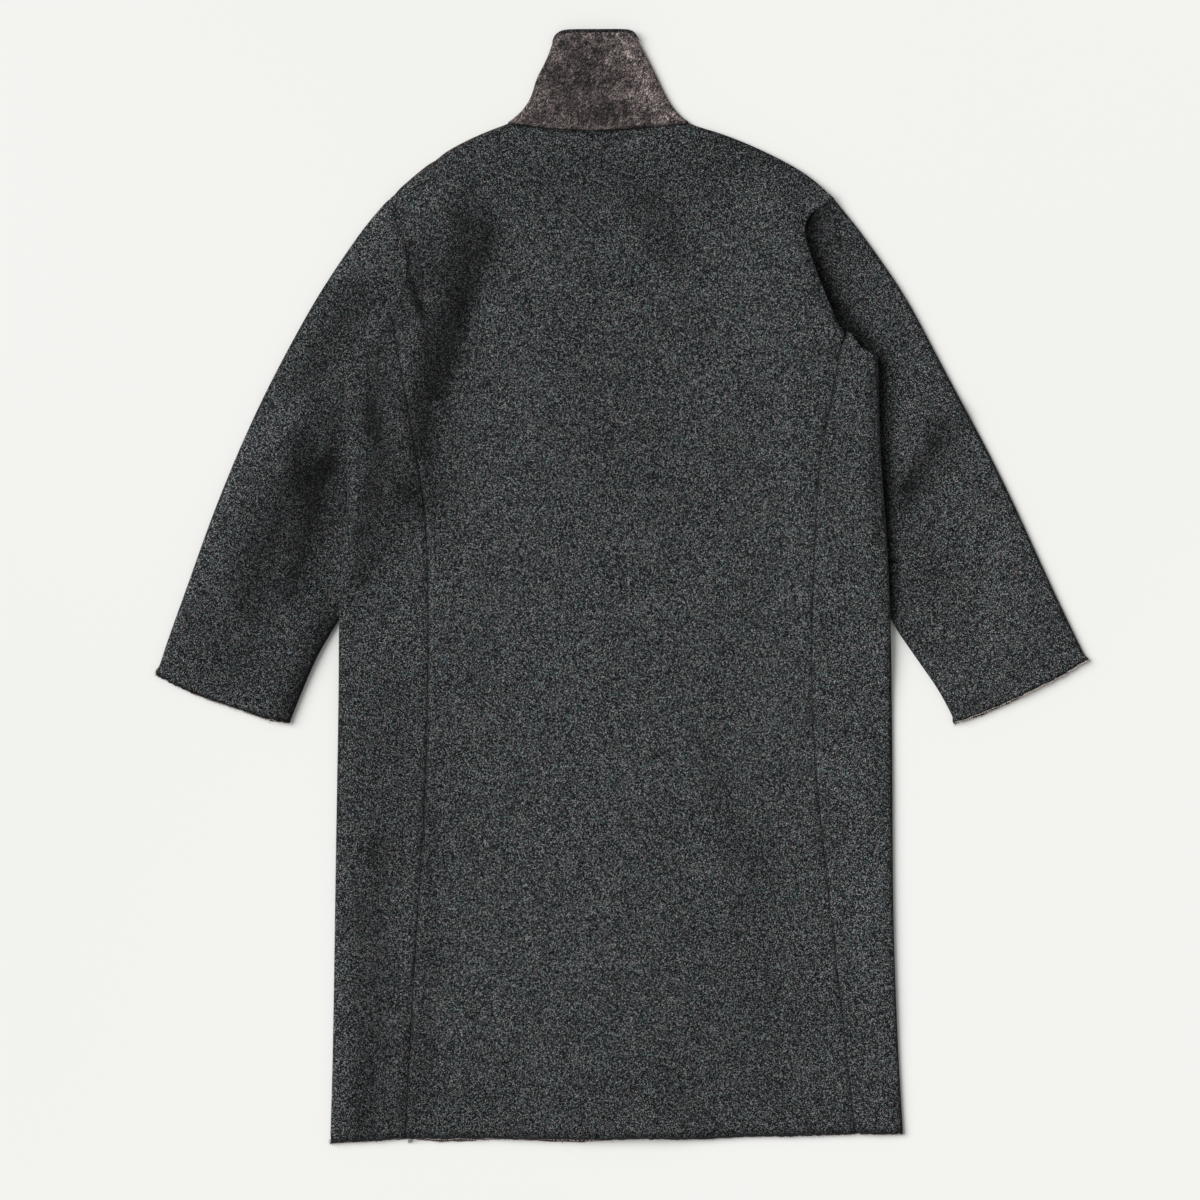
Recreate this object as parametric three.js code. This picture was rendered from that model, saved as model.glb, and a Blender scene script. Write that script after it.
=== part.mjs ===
// A long reversible coat of thick double-faced cloth, laid flat on its front with the collar up.
// Millimetres. The tables use the garment's own frame: x across from the middle of the hem,
// y up from the hem, z up from the surface that the coat lies on. "Left" is the wearer's left.

import * as THREE from 'three';

// ---------------------------------------------------------------- driving sizes

const CLOTH = 2.6; // thickness of the cloth
const LAYER_GAP = 0.8; // air between two layers that lie on each other
const SEAM_GAP = 0.3; // gap between two pieces along a seam
const LAYER = CLOTH + LAYER_GAP; // height of one more layer below
const RAMP = 55; // run over which a panel climbs onto a folded sleeve
const BRIDGE = 0.8; // extra air under an upper panel halfway up such a ramp
const FOLD_STEPS = 4; // facets round a folded edge

const NECK_Y = 1104; // height of the neck corners above the hem
const FRONT_LEAN = -0.018; // the laid coat leans this much: x of its centre line for each mm of y
const FRONT_LAP = 30; // each front reaches this far past the centre line
const NECKLINE_SLOPE = 1.035; // fall of the front neckline for each mm towards the centre
const LAP_RAMP = 55; // run over which the right front climbs onto the left one
const BACK_LAP_RAMP = 90; // the same for the back, which bridges the step
const COLLAR_LAP_RAMP = 30; // the same for the collar
const ARMHOLE_BASE_Y = 850; // where the front panel seams end in the armhole
const ARMHOLE_FADE = 60; // height over which the fronts come down again above that
const ARMHOLE_SAG_POWER = 12; // the side panels' rows bend towards the armhole only near the top
const NECK_EDGE_RISE = 1.2; // the back's raw neck edge stands this much proud of the collar
const NECK_EDGE_RUN = 0.05; // share of the back's length over which it rises
const NECKLINE_GAP = 1.5 * SEAM_GAP; // gap below the collar's wings, measured straight down
const SHOULDER_INSET_WAY = { x: 0.4, y: -0.9 }; // which way the back's shoulder edge stands in

// ---------------------------------------------------------------- tables

const HEM = {
  back: [
    { x: -229, y: 2 },
    { x: -150, y: 1.5 },
    { x: -40, y: 1 },
    { x: 20, y: 2 },
    { x: 80, y: 1 },
    { x: 140, y: 4 },
    { x: 200, y: 5 },
    { x: 260, y: 7 },
  ],
  left: [
    { x: -222, y: 2 },
    { x: -200, y: -0.5 },
    { x: -165, y: -1 },
    { x: -125, y: 2 },
    { x: -75, y: -1 },
    { x: -35, y: -2 },
    { x: -5, y: 1 },
    { x: 30, y: 3 },
  ],
  right: [
    { x: -30, y: 3 },
    { x: 60, y: 2.5 },
    { x: 150, y: 4.5 },
    { x: 225, y: 7 },
  ],
};

// The lines of each side. "mouth" runs from the shoulder down the sleeve's open end to the
// underarm, and "armhole" from the top of the back panel seam up the back's edge. They share
// their points from the shoulder down to "meets", where the back starts to lap the sleeve.
const SIDES = {
  left: {
    sign: -1,
    backSeam: [
      { x: -229, y: 2 },
      { x: -224, y: 100 },
      { x: -216, y: 240 },
      { x: -207, y: 380 },
      { x: -204, y: 585 },
      { x: -208, y: 684 },
      { x: -216, y: 736 },
      { x: -229, y: 812 },
      { x: -244, y: 900 },
    ],
    sideFold: [
      { x: -311, y: -3 },
      { x: -308, y: 100 },
      { x: -305, y: 300 },
      { x: -302, y: 474 },
      { x: -300, y: 598 },
      { x: -292, y: 696 },
      { x: -295, y: 821 },
    ],
    frontSeam: [
      { x: -222, y: 2 },
      { x: -208, y: ARMHOLE_BASE_Y },
    ],
    armhole: [
      { x: -244, y: 900 },
      { x: -235, y: 917 },
      { x: -226, y: 940 },
      { x: -229, y: 965 },
      { x: -232, y: 996 },
      { x: -238, y: 1010 },
      { x: -246, y: 1024 },
    ],
    mouth: [
      { x: -246, y: 1024 },
      { x: -238, y: 1010 },
      { x: -232, y: 996 },
      { x: -229, y: 965 },
      { x: -221, y: 930 },
      { x: -212, y: 890 },
      { x: -208, y: ARMHOLE_BASE_Y },
      { x: -211, y: 800 },
      { x: -217, y: 745 },
      { x: -222, y: 696 },
    ],
    meets: 3,
    armholeSag: 9,
    shoulder: [
      { x: -246, y: 1024 },
      { x: -219, y: 1048 },
      { x: -180, y: 1078 },
      { x: -153, y: 1091 },
      { x: -119, y: NECK_Y },
    ],
    shoulderInset: 3.5,
    sleeveOuter: [
      { x: -499.5, y: 505.5 },
      { x: -489, y: 539 },
      { x: -470, y: 591 },
      { x: -432, y: 696 },
      { x: -387, y: 800 },
      { x: -332, y: 904 },
      { x: -298, y: 957 },
      { x: -271, y: 996 },
      { x: -246, y: 1024 },
    ],
    sleeveInner: [
      { x: -354, y: 454 },
      { x: -341, y: 487 },
      { x: -324, y: 526 },
      { x: -309, y: 552 },
      { x: -286, y: 590 },
      { x: -252, y: 643 },
      { x: -222, y: 696 },
    ],
    cuff: [
      { x: -499.5, y: 505.5 },
      { x: -464, y: 487 },
      { x: -427, y: 474 },
      { x: -390, y: 461 },
      { x: -354, y: 454 },
    ],
    beyondSleeve: [
      { x: -440, y: 500 },
      { x: -420, y: 900 },
      { x: -300, y: 985 },
    ],
  },
  right: {
    sign: 1,
    backSeam: [
      { x: 260, y: 7 },
      { x: 250, y: 100 },
      { x: 234, y: 236 },
      { x: 217, y: 392 },
      { x: 212, y: 520 },
      { x: 215, y: 624 },
      { x: 221, y: 728 },
      { x: 236, y: 810 },
      { x: 245, y: 872 },
    ],
    sideFold: [
      { x: 312, y: 6.5 },
      { x: 307, y: 87 },
      { x: 300, y: 260 },
      { x: 299.5, y: 435 },
      { x: 298, y: 560 },
      { x: 291, y: 710 },
      { x: 284, y: 850 },
    ],
    frontSeam: [
      { x: 225, y: 7 },
      { x: 199, y: ARMHOLE_BASE_Y },
    ],
    armhole: [
      { x: 245, y: 872 },
      { x: 234, y: 903 },
      { x: 220, y: 935 },
      { x: 210, y: 965 },
      { x: 201, y: 994 },
      { x: 219, y: 1014 },
      { x: 237, y: 1022 },
    ],
    mouth: [
      { x: 237, y: 1022 },
      { x: 219, y: 1014 },
      { x: 201, y: 994 },
      { x: 197, y: 960 },
      { x: 194, y: 925 },
      { x: 195, y: 890 },
      { x: 199, y: ARMHOLE_BASE_Y },
      { x: 205, y: 800 },
      { x: 214, y: 745 },
      { x: 223, y: 696 },
    ],
    meets: 2,
    armholeSag: -4,
    shoulder: [
      { x: 237, y: 1022 },
      { x: 208, y: 1048 },
      { x: 179, y: 1065 },
      { x: 152, y: 1078 },
      { x: 122, y: 1091 },
      { x: 80, y: NECK_Y },
    ],
    shoulderInset: 0,
    sleeveOuter: [
      { x: 511.4, y: 522 },
      { x: 503, y: 539 },
      { x: 478, y: 591 },
      { x: 429, y: 696 },
      { x: 376, y: 800 },
      { x: 320, y: 904 },
      { x: 286, y: 957 },
      { x: 259, y: 996 },
      { x: 237, y: 1022 },
    ],
    sleeveInner: [
      { x: 368, y: 454 },
      { x: 351, y: 487 },
      { x: 325, y: 526 },
      { x: 306, y: 552 },
      { x: 287, y: 590 },
      { x: 253, y: 643 },
      { x: 223, y: 696 },
    ],
    cuff: [
      { x: 511.4, y: 522 },
      { x: 476, y: 500 },
      { x: 441, y: 482 },
      { x: 405, y: 466 },
      { x: 368, y: 454 },
    ],
    beyondSleeve: [
      { x: 440, y: 500 },
      { x: 420, y: 900 },
      { x: 290, y: 1010 },
    ],
  },
};

// The collar's side folds, by height above the neck seam.
const COLLAR_FOLDS = [
  { height: 0, left: -119, right: 80 },
  { height: 10, left: -106, right: 68 },
  { height: 26, left: -93, right: 56 },
  { height: 50, left: -84, right: 45 },
  { height: 74, left: -74, right: 33 },
  { height: 94, left: -68, right: 22 },
  { height: 102, left: -61, right: 16 },
];
const COLLAR_CROWN = 1; // the top edge bows up by this much
const COLLAR_DIP = 8; // the neck seam bows down by this much
const COLLAR_CORNER = 2.6; // the turned cloth at the foot of each side fold stands this much above it

// Soft folds of the upper cloth: a ridge from one point to another.
const BACK_FOLDS = [
  { x1: -238, y1: 962, x2: -206, y2: 858, reach: 30, rise: 2.2 },
  { x1: -214, y1: 1012, x2: -196, y2: 950, reach: 48, rise: 1.6 },
  { x1: 206, y1: 980, x2: 240, y2: 900, reach: 34, rise: 2.2 },
  { x1: 62, y1: 360, x2: 84, y2: 245, reach: 42, rise: 1.4 },
];
const SLEEVE_FOLDS = [
  { x1: -440, y1: 560, x2: -360, y2: 790, reach: 52, rise: 1.2 },
  { x1: -372, y1: 790, x2: -318, y2: 868, reach: 40, rise: 1.6 },
  { x1: 312, y1: 728, x2: 356, y2: 786, reach: 24, rise: 2.6 },
  { x1: 372, y1: 640, x2: 448, y2: 560, reach: 50, rise: 1.2 },
];

// Stations across and along the pieces: shares of the whole width or length.
const PANEL_ROWS = [
  0, 0.09, 0.18, 0.27, 0.36, 0.44, 0.5, 0.545, 0.58, 0.61, 0.64, 0.67, 0.7, 0.73, 0.76,
  0.79, 0.82, 0.85, 0.88, 0.91, 0.94, 0.97, 1,
];
const BACK_COLUMNS = [
  0, 0.032, 0.066, 0.102, 0.145, 0.21, 0.3, 0.37, 0.44, 0.5, 0.56, 0.63, 0.7, 0.79, 0.855,
  0.898, 0.934, 0.968, 1,
];
const SHOULDER_COLUMNS = [0, 0.1, 0.21, 0.34, 0.5, 0.74, 1];
const NECK_COLUMNS = 6;
const FRONT_COLUMNS = [0, 0.06, 0.125, 0.195, 0.28, 0.39, 0.51, 0.61, 0.71, 0.81, 0.9, 1];
const NECKLINE_COLUMNS = 5;
const HALF_PANEL_COLUMNS = 5;
const SLEEVE_ROWS = 15;
const WING_COLUMNS = 7;
const TUCK_STEPS = 12; // steps along the inner fold of a tucked sleeve

// ---------------------------------------------------------------- small helpers

const point = ({ x, y }) => new THREE.Vector2(x, y);
const points = (table) => table.map(point);
const mix = (a, b, share) => a + (b - a) * share;

function smooth(from, to, value) {
  return THREE.MathUtils.smoothstep(value, from, to);
}

// Points on the smooth curve through a table, at shares of its length.
function along(table, shares) {
  const curve = new THREE.SplineCurve(points(table));
  return shares.map((share) => curve.getPointAt(share));
}

function evenShares(count) {
  return Array.from({ length: count + 1 }, (_, index) => index / count);
}

// How far along a list of points each one lies, from 0 to 1.
function lengthShares(list) {
  const travelled = [0];
  for (let index = 1; index < list.length; index += 1) {
    travelled.push(travelled[index - 1] + list[index].distanceTo(list[index - 1]));
  }
  return travelled.map((length) => length / travelled[travelled.length - 1]);
}

// A grid of plan points between four edges, row by row from the bottom edge to the top one.
function patch(bottom, top, left, right) {
  const average = (one, other) => {
    const otherShares = lengthShares(other);
    return lengthShares(one).map((share, index) => mix(share, otherShares[index], 0.5));
  };
  const across = average(bottom, top);
  const up = average(left, right);
  const last = bottom.length - 1;
  return left.map((leftPoint, row) =>
    bottom.map((bottomPoint, column) => {
      const u = across[column];
      const v = up[row];
      const blended = new THREE.Vector2();
      blended.addScaledVector(bottomPoint, 1 - v).addScaledVector(top[column], v);
      blended.addScaledVector(leftPoint, 1 - u).addScaledVector(right[row], u);
      blended.addScaledVector(bottom[0], -(1 - u) * (1 - v)).addScaledVector(bottom[last], -u * (1 - v));
      blended.addScaledVector(top[0], -(1 - u) * v).addScaledVector(top[last], -u * v);
      return blended;
    }),
  );
}

// A line of points moved sideways, to the left of its direction where the distance is positive.
function beside(list, distance) {
  return list.map((place, index) => {
    const ahead = list[Math.min(index + 1, list.length - 1)];
    const run = ahead.clone().sub(list[Math.max(index - 1, 0)]).normalize();
    return place.clone().add(new THREE.Vector2(-run.y, run.x).multiplyScalar(distance));
  });
}

function distanceToSegment(place, start, end) {
  const run = end.clone().sub(start);
  const share = THREE.MathUtils.clamp(place.clone().sub(start).dot(run) / run.lengthSq(), 0, 1);
  return place.distanceTo(start.clone().addScaledVector(run, share));
}

function isInside(outline, place) {
  let inside = false;
  outline.forEach((a, index) => {
    const b = outline[(index + 1) % outline.length];
    const crosses = a.y > place.y !== b.y > place.y;
    if (crosses && place.x < mix(a.x, b.x, (place.y - a.y) / (b.y - a.y))) {
      inside = !inside;
    }
  });
  return inside;
}

// 1 over an outline, falling softly to 0 at a run outside it.
function cover(outline, place, run) {
  if (isInside(outline, place)) {
    return 1;
  }
  const distances = outline.map((a, index) =>
    distanceToSegment(place, a, outline[(index + 1) % outline.length]),
  );
  return 1 - smooth(0, run, Math.min(...distances));
}

function foldRise(table, place) {
  return table.reduce((sum, fold) => {
    const start = new THREE.Vector2(fold.x1, fold.y1);
    const end = new THREE.Vector2(fold.x2, fold.y2);
    return sum + fold.rise * (1 - smooth(0, fold.reach, distanceToSegment(place, start, end)));
  }, 0);
}

// ---------------------------------------------------------------- heights of the layers

// The part of each folded sleeve that the body lies on, and where it comes out beside it.
function tuckOutline(side) {
  const mouth = points(side.mouth.slice(side.meets));
  const inner = along(side.sleeveInner, evenShares(TUCK_STEPS)).reverse();
  return [...mouth, ...inner.slice(1), ...points(side.beyondSleeve)];
}

const TUCKS = [tuckOutline(SIDES.left), tuckOutline(SIDES.right)];
const centreX = (y) => FRONT_LEAN * y;

function tuckCover(place) {
  return Math.max(...TUCKS.map((outline) => cover(outline, place, RAMP)));
}

// 1 beside and below the armholes, where the panels' front half lies on the sleeve too.
function belowArmhole(place) {
  return 1 - smooth(ARMHOLE_BASE_Y, ARMHOLE_BASE_Y + ARMHOLE_FADE, place.y);
}

function lapCover(place, run) {
  const past = Math.abs(place.x - centreX(place.y)) - FRONT_LAP;
  return 1 - smooth(0, run, past);
}

// Heights of the middle of the cloth.
function lowerHeight(place) {
  return CLOTH / 2 + 2 * LAYER * tuckCover(place) * belowArmhole(place);
}

function rightFrontHeight(place) {
  const pastLeftEdge = place.x - centreX(place.y) - FRONT_LAP;
  return lowerHeight(place) + LAYER * (1 - smooth(0, LAP_RAMP, pastLeftEdge));
}

function upperHeight(place) {
  const tuck = tuckCover(place);
  const layers = 1 + tuck * (1 + belowArmhole(place)) + lapCover(place, BACK_LAP_RAMP);
  const bridge = BRIDGE * 4 * tuck * (1 - tuck);
  return CLOTH / 2 + LAYER * layers + bridge + foldRise(BACK_FOLDS, place);
}

// Where a line that falls from a neck or collar corner meets the centre edge of its front.
function centreEdgePlace(corner, sign) {
  const overlap = -sign * FRONT_LAP;
  const slope = NECKLINE_SLOPE * sign;
  const y = (corner.y - slope * (corner.x - overlap)) / (1 - slope * FRONT_LEAN);
  return new THREE.Vector2(centreX(y) + overlap, y);
}

function atHeight(heightOf) {
  return (place) => new THREE.Vector3(place.x, place.y, heightOf(place));
}

// ---------------------------------------------------------------- from a sheet to a wall

// Points round a folded edge, from the upper layer to the lower one. "edge" is the outermost
// point of the fold in plan, and "outward" points away from the cloth.
function foldedEdge(edge, outward, upper, lower) {
  const radius = (upper - lower) / 2;
  const centre = edge.clone().addScaledVector(outward, -(radius + CLOTH / 2));
  return evenShares(FOLD_STEPS).map((share) => {
    const turn = Math.PI * (0.5 - share);
    const place = centre.clone().addScaledVector(outward, radius * Math.cos(turn));
    return new THREE.Vector3(place.x, place.y, (upper + lower) / 2 + radius * Math.sin(turn));
  });
}

// The cloth's outward direction at each point of a sheet given by its middle surface.
function sheetNormal(rows, row, column, isRing) {
  const columns = rows[row].length;
  const before = isRing ? (column + columns - 1) % columns : Math.max(column - 1, 0);
  const after = isRing ? (column + 1) % columns : Math.min(column + 1, columns - 1);
  const across = rows[row][after].clone().sub(rows[row][before]);
  const above = rows[Math.min(row + 1, rows.length - 1)][column];
  const up = above.clone().sub(rows[Math.max(row - 1, 0)][column]);
  return across.cross(up).normalize();
}

// A closed wall, one cloth thick, about the middle surface given row by row. The columns run
// anticlockwise seen along the rows, and a ring joins its last column to its first.
function wall(rows, isRing = false) {
  const columns = rows[0].length;
  const positions = [];
  rows.forEach((places, row) => {
    places.forEach((place, column) => {
      const half = sheetNormal(rows, row, column, isRing).multiplyScalar(CLOTH / 2);
      positions.push(...place.clone().add(half).toArray());
      positions.push(...place.clone().sub(half).toArray());
    });
  });
  const outer = (row, column) => 2 * (row * columns + (column % columns));
  const inner = (row, column) => outer(row, column) + 1;
  const triangles = [];
  const quad = (a, b, c, d) => triangles.push(a, b, c, a, c, d);
  const lastRow = rows.length - 1;
  const cells = isRing ? columns : columns - 1;
  for (let column = 0; column < cells; column += 1) {
    const next = column + 1;
    for (let row = 0; row < lastRow; row += 1) {
      const above = row + 1;
      quad(outer(row, column), outer(row, next), outer(above, next), outer(above, column));
      quad(inner(row, column), inner(above, column), inner(above, next), inner(row, next));
    }
    quad(outer(0, next), outer(0, column), inner(0, column), inner(0, next));
    quad(outer(lastRow, column), outer(lastRow, next), inner(lastRow, next), inner(lastRow, column));
  }
  if (!isRing) {
    for (let row = 0; row < lastRow; row += 1) {
      quad(outer(row, 0), outer(row + 1, 0), inner(row + 1, 0), inner(row, 0));
      quad(outer(row + 1, cells), outer(row, cells), inner(row, cells), inner(row + 1, cells));
    }
  }
  const geometry = new THREE.BufferGeometry();
  geometry.setAttribute('position', new THREE.Float32BufferAttribute(positions, 3));
  geometry.setIndex(triangles);
  geometry.computeVertexNormals();
  return geometry;
}

// ---------------------------------------------------------------- the body

function backSeamPlaces(side) {
  return along(side.backSeam, PANEL_ROWS);
}

function frontSeamPlaces(side) {
  const [start, end] = points(side.frontSeam);
  return PANEL_ROWS.map((share) => start.clone().lerp(end, share));
}

function backShoulder(side) {
  const way = point(SHOULDER_INSET_WAY).multiply(new THREE.Vector2(-side.sign, 1));
  return along(side.shoulder, SHOULDER_COLUMNS).map((place, column) => {
    const inset = side.shoulderInset * Math.sin(Math.PI * SHOULDER_COLUMNS[column]);
    return place.addScaledVector(way, inset);
  });
}

function neckPlace(share) {
  const [seam] = COLLAR_FOLDS;
  const x = mix(seam.left, seam.right, share);
  return new THREE.Vector2(x, NECK_Y - COLLAR_DIP * Math.sin(Math.PI * share));
}

function backCenter() {
  const edge = (side) => {
    const seam = backSeamPlaces(side);
    return beside([...seam, ...points(side.armhole).slice(1)], side.sign * SEAM_GAP);
  };
  const left = edge(SIDES.left);
  const right = edge(SIDES.right);
  const hem = along(HEM.back, BACK_COLUMNS);
  const neck = evenShares(NECK_COLUMNS).slice(1, -1).map(neckPlace);
  neck.forEach((place) => place.setY(place.y - SEAM_GAP));
  const top = [...backShoulder(SIDES.left), ...neck, ...backShoulder(SIDES.right).reverse()];
  const bottomEdge = [left[0], ...hem.slice(1, -1), right[0]];
  const topEdge = [left[left.length - 1], ...top.slice(1, -1), right[right.length - 1]];
  const plan = patch(bottomEdge, topEdge, left, right);
  const neckStart = SHOULDER_COLUMNS.length - 1;
  const neckEnd = neckStart + NECK_COLUMNS;
  const rows = plan.map((places, row) =>
    places.map((place, column) => {
      const surface = atHeight(upperHeight)(place);
      const isByNeck = column >= neckStart && column <= neckEnd;
      const rise = isByNeck ? NECK_EDGE_RISE : SEAM_GAP - LAYER_GAP;
      surface.z += rise * smooth(1 - NECK_EDGE_RUN, 1, row / (plan.length - 1));
      return surface;
    }),
  );
  return wall(rows);
}

function frontPanel(side, hemTable, heightOf) {
  const neckCorner = point(side.shoulder[side.shoulder.length - 1]);
  const neckEnd = centreEdgePlace(neckCorner, side.sign);
  const seam = frontSeamPlaces(side);
  const baseIndex = side.mouth.findIndex(({ y }) => y === ARMHOLE_BASE_Y);
  const armhole = points(side.mouth.slice(0, baseIndex + 1)).reverse();
  const outer = beside([...seam, ...armhole.slice(1)], side.sign * SEAM_GAP);
  const isLeft = side.sign < 0;
  const hemEnd = point(hemTable[isLeft ? hemTable.length - 1 : 0]);
  const centreEdge = lengthShares(outer).map((share) => hemEnd.clone().lerp(neckEnd, share));
  const shares = isLeft ? FRONT_COLUMNS : FRONT_COLUMNS.map((share) => 1 - share).reverse();
  const hem = along(hemTable, shares);
  const shoulder = along(side.shoulder, SHOULDER_COLUMNS);
  const neckline = evenShares(NECKLINE_COLUMNS).map((share) => neckCorner.clone().lerp(neckEnd, share));
  neckline.slice(1).forEach((place) => place.setY(place.y - NECKLINE_GAP));
  const top = [...shoulder, ...neckline.slice(1)];
  const [left, right] = isLeft ? [outer, centreEdge] : [centreEdge, outer];
  const topRun = isLeft ? top : top.reverse();
  const bottomEdge = [left[0], ...hem.slice(1, -1), right[0]];
  const topEdge = [left[left.length - 1], ...topRun.slice(1, -1), right[right.length - 1]];
  const plan = patch(bottomEdge, topEdge, left, right);
  return wall(plan.map((places) => places.map(atHeight(heightOf))));
}

// A side panel runs from the back seam over the side fold and back to the front seam.
function sidePanel(side) {
  const backSeam = backSeamPlaces(side);
  const frontSeam = frontSeamPlaces(side);
  const sideFold = along(side.sideFold, PANEL_ROWS);
  const outward = new THREE.Vector2(side.sign, 0);
  const shares = evenShares(HALF_PANEL_COLUMNS).slice(0, -1);
  const rows = PANEL_ROWS.map((up, row) => {
    const edge = sideFold[row];
    const arc = foldedEdge(edge, outward, upperHeight(edge), lowerHeight(edge));
    const foldStart = new THREE.Vector2(arc[0].x, arc[0].y);
    const half = (seamPlace, heightOf, armholeSag) =>
      shares.map((share) => {
        const place = seamPlace.clone().lerp(foldStart, share);
        place.y -= armholeSag * Math.sin(Math.PI * share) * up ** ARMHOLE_SAG_POWER;
        return atHeight(heightOf)(place);
      });
    const upper = half(backSeam[row], upperHeight, side.armholeSag);
    const lower = half(frontSeam[row], lowerHeight, 0).reverse();
    return [...upper, ...arc, ...lower];
  });
  return wall(side.sign < 0 ? rows.map((places) => places.reverse()) : rows);
}

// ---------------------------------------------------------------- the sleeves

// A flattened tube: back half, inner fold, front half on the surface, outer fold.
function sleeve(side) {
  const mouth = points(side.mouth);
  const cuff = along(side.cuff, lengthShares(mouth));
  const shares = evenShares(SLEEVE_ROWS);
  const outer = along(side.sleeveOuter, shares);
  const inner = along(side.sleeveInner, shares);
  const plan = patch(cuff, mouth, outer, inner);
  const lowerLevel = CLOTH / 2;
  const upperLevel = lowerLevel + LAYER;
  const rows = plan.map((places) => {
    const last = places.length - 1;
    const inward = places[last].clone().sub(places[last - 1]).normalize();
    const outward = places[0].clone().sub(places[1]).normalize();
    const flat = places.slice(1, -1);
    const innerArc = foldedEdge(places[last], inward, upperLevel, lowerLevel);
    const outerArc = foldedEdge(places[0], outward, upperLevel, lowerLevel).reverse();
    const upper = flat.map(atHeight((place) => upperLevel + foldRise(SLEEVE_FOLDS, place)));
    const lower = flat.map(atHeight(() => lowerLevel)).reverse();
    return [...outerArc, ...upper, ...innerArc, ...lower];
  });
  return wall(side.sign < 0 ? rows : rows.map((places) => places.reverse()), true);
}

// ---------------------------------------------------------------- the collar

// One strip: its back half lies on two wings, folded under along slanting side folds.
function collar() {
  const rows = COLLAR_FOLDS;
  const collarHeight = rows[rows.length - 1].height;
  const upperOf = (place) => CLOTH / 2 + LAYER * (1 + lapCover(place, COLLAR_LAP_RAMP));
  const leftWingOf = () => CLOTH / 2;
  const rightWingOf = (place) => {
    const pastLeftEdge = place.x - centreX(place.y) - FRONT_LAP;
    return CLOTH / 2 + LAYER * (1 - smooth(0, COLLAR_LAP_RAMP, pastLeftEdge));
  };
  const foldPlace = (row, name) => new THREE.Vector2(row[name], NECK_Y + row.height);
  const outwardAt = (index, name, sign) => {
    const above = foldPlace(rows[Math.min(index + 1, rows.length - 1)], name);
    const below = foldPlace(rows[Math.max(index - 1, 0)], name);
    const run = above.sub(below).normalize();
    return new THREE.Vector2(sign * run.y, -sign * run.x);
  };
  const neckShares = evenShares(NECK_COLUMNS).slice(1, -1);
  const wingShares = evenShares(WING_COLUMNS).slice(1);
  const grid = rows.map((row, index) => {
    const side = (name, sign, wingOf) => {
      const corner = foldPlace(row, name);
      const edge = corner.clone().setY(corner.y + (index === 0 ? COLLAR_CORNER : 0));
      const arc = foldedEdge(edge, outwardAt(index, name, sign), upperOf(edge), wingOf(edge));
      const end = centreEdgePlace(corner, sign);
      const wing = wingShares.map((share) => atHeight(wingOf)(corner.clone().lerp(end, share)));
      return { arc, wing };
    };
    const left = side('left', -1, leftWingOf);
    const right = side('right', 1, rightWingOf);
    const bow = mix(-COLLAR_DIP, COLLAR_CROWN, row.height / collarHeight);
    const middle = neckShares.map((share) => {
      const place = new THREE.Vector2(mix(row.left, row.right, share), NECK_Y + row.height);
      place.y += bow * Math.sin(Math.PI * share);
      return atHeight(upperOf)(place);
    });
    return [...left.wing.reverse(), ...left.arc.reverse(), ...middle, ...right.arc, ...right.wing];
  });
  return wall(grid);
}

// ---------------------------------------------------------------- the coat

const TWEED = { color: 0x35393c, roughness: 0.95, metalness: 0 };
const PILE = { color: 0x6f6264, roughness: 0.9, metalness: 0 };

const coat = new THREE.Group();

function addPiece(name, geometry, finish = TWEED) {
  const mesh = new THREE.Mesh(geometry, new THREE.MeshStandardMaterial(finish));
  mesh.name = name;
  coat.add(mesh);
}

addPiece('back_center', backCenter());
addPiece('side_panel_left', sidePanel(SIDES.left));
addPiece('side_panel_right', sidePanel(SIDES.right));
addPiece('front_left', frontPanel(SIDES.left, HEM.left, lowerHeight));
addPiece('front_right', frontPanel(SIDES.right, HEM.right, rightFrontHeight));
addPiece('sleeve_left', sleeve(SIDES.left));
addPiece('sleeve_right', sleeve(SIDES.right));
addPiece('collar', collar(), PILE);

// The part's origin is the middle of its box, on the surface it lies on.
const box = new THREE.Box3().setFromObject(coat);
coat.position.set(-(box.min.x + box.max.x) / 2, -(box.min.y + box.max.y) / 2, -box.min.z);

export default coat;
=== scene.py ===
"""A long reversible coat of double-faced tweed, laid flat on its front with the collar up.

Every sheet of cloth is a fine shell on the form of its cut piece, with the folds, the felled
seams, the raw fraying edges, the crushed pile with its painted sheen, and painted shade and
painted light added here. The tables are in millimetres, on the model's own axes: x across the
coat, y from the hem to the collar, z up.
"""

import math
import random

import bmesh
import bpy
import numpy as np
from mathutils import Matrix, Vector, kdtree, noise
from mathutils.bvhtree import BVHTree


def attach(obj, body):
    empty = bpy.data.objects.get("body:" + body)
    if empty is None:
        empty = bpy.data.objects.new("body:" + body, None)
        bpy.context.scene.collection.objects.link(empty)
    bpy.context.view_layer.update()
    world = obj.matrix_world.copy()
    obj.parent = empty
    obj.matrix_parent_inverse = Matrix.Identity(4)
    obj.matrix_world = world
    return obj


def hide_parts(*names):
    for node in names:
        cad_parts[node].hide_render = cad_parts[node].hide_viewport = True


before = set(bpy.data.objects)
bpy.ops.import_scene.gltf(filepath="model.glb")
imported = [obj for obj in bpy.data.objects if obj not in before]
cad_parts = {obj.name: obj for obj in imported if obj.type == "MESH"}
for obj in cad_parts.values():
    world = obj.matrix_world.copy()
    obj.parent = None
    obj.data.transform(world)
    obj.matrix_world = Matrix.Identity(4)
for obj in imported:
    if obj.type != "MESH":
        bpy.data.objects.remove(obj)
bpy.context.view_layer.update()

MM = 0.001
BODY = "root"

# ---------- sizes

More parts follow.
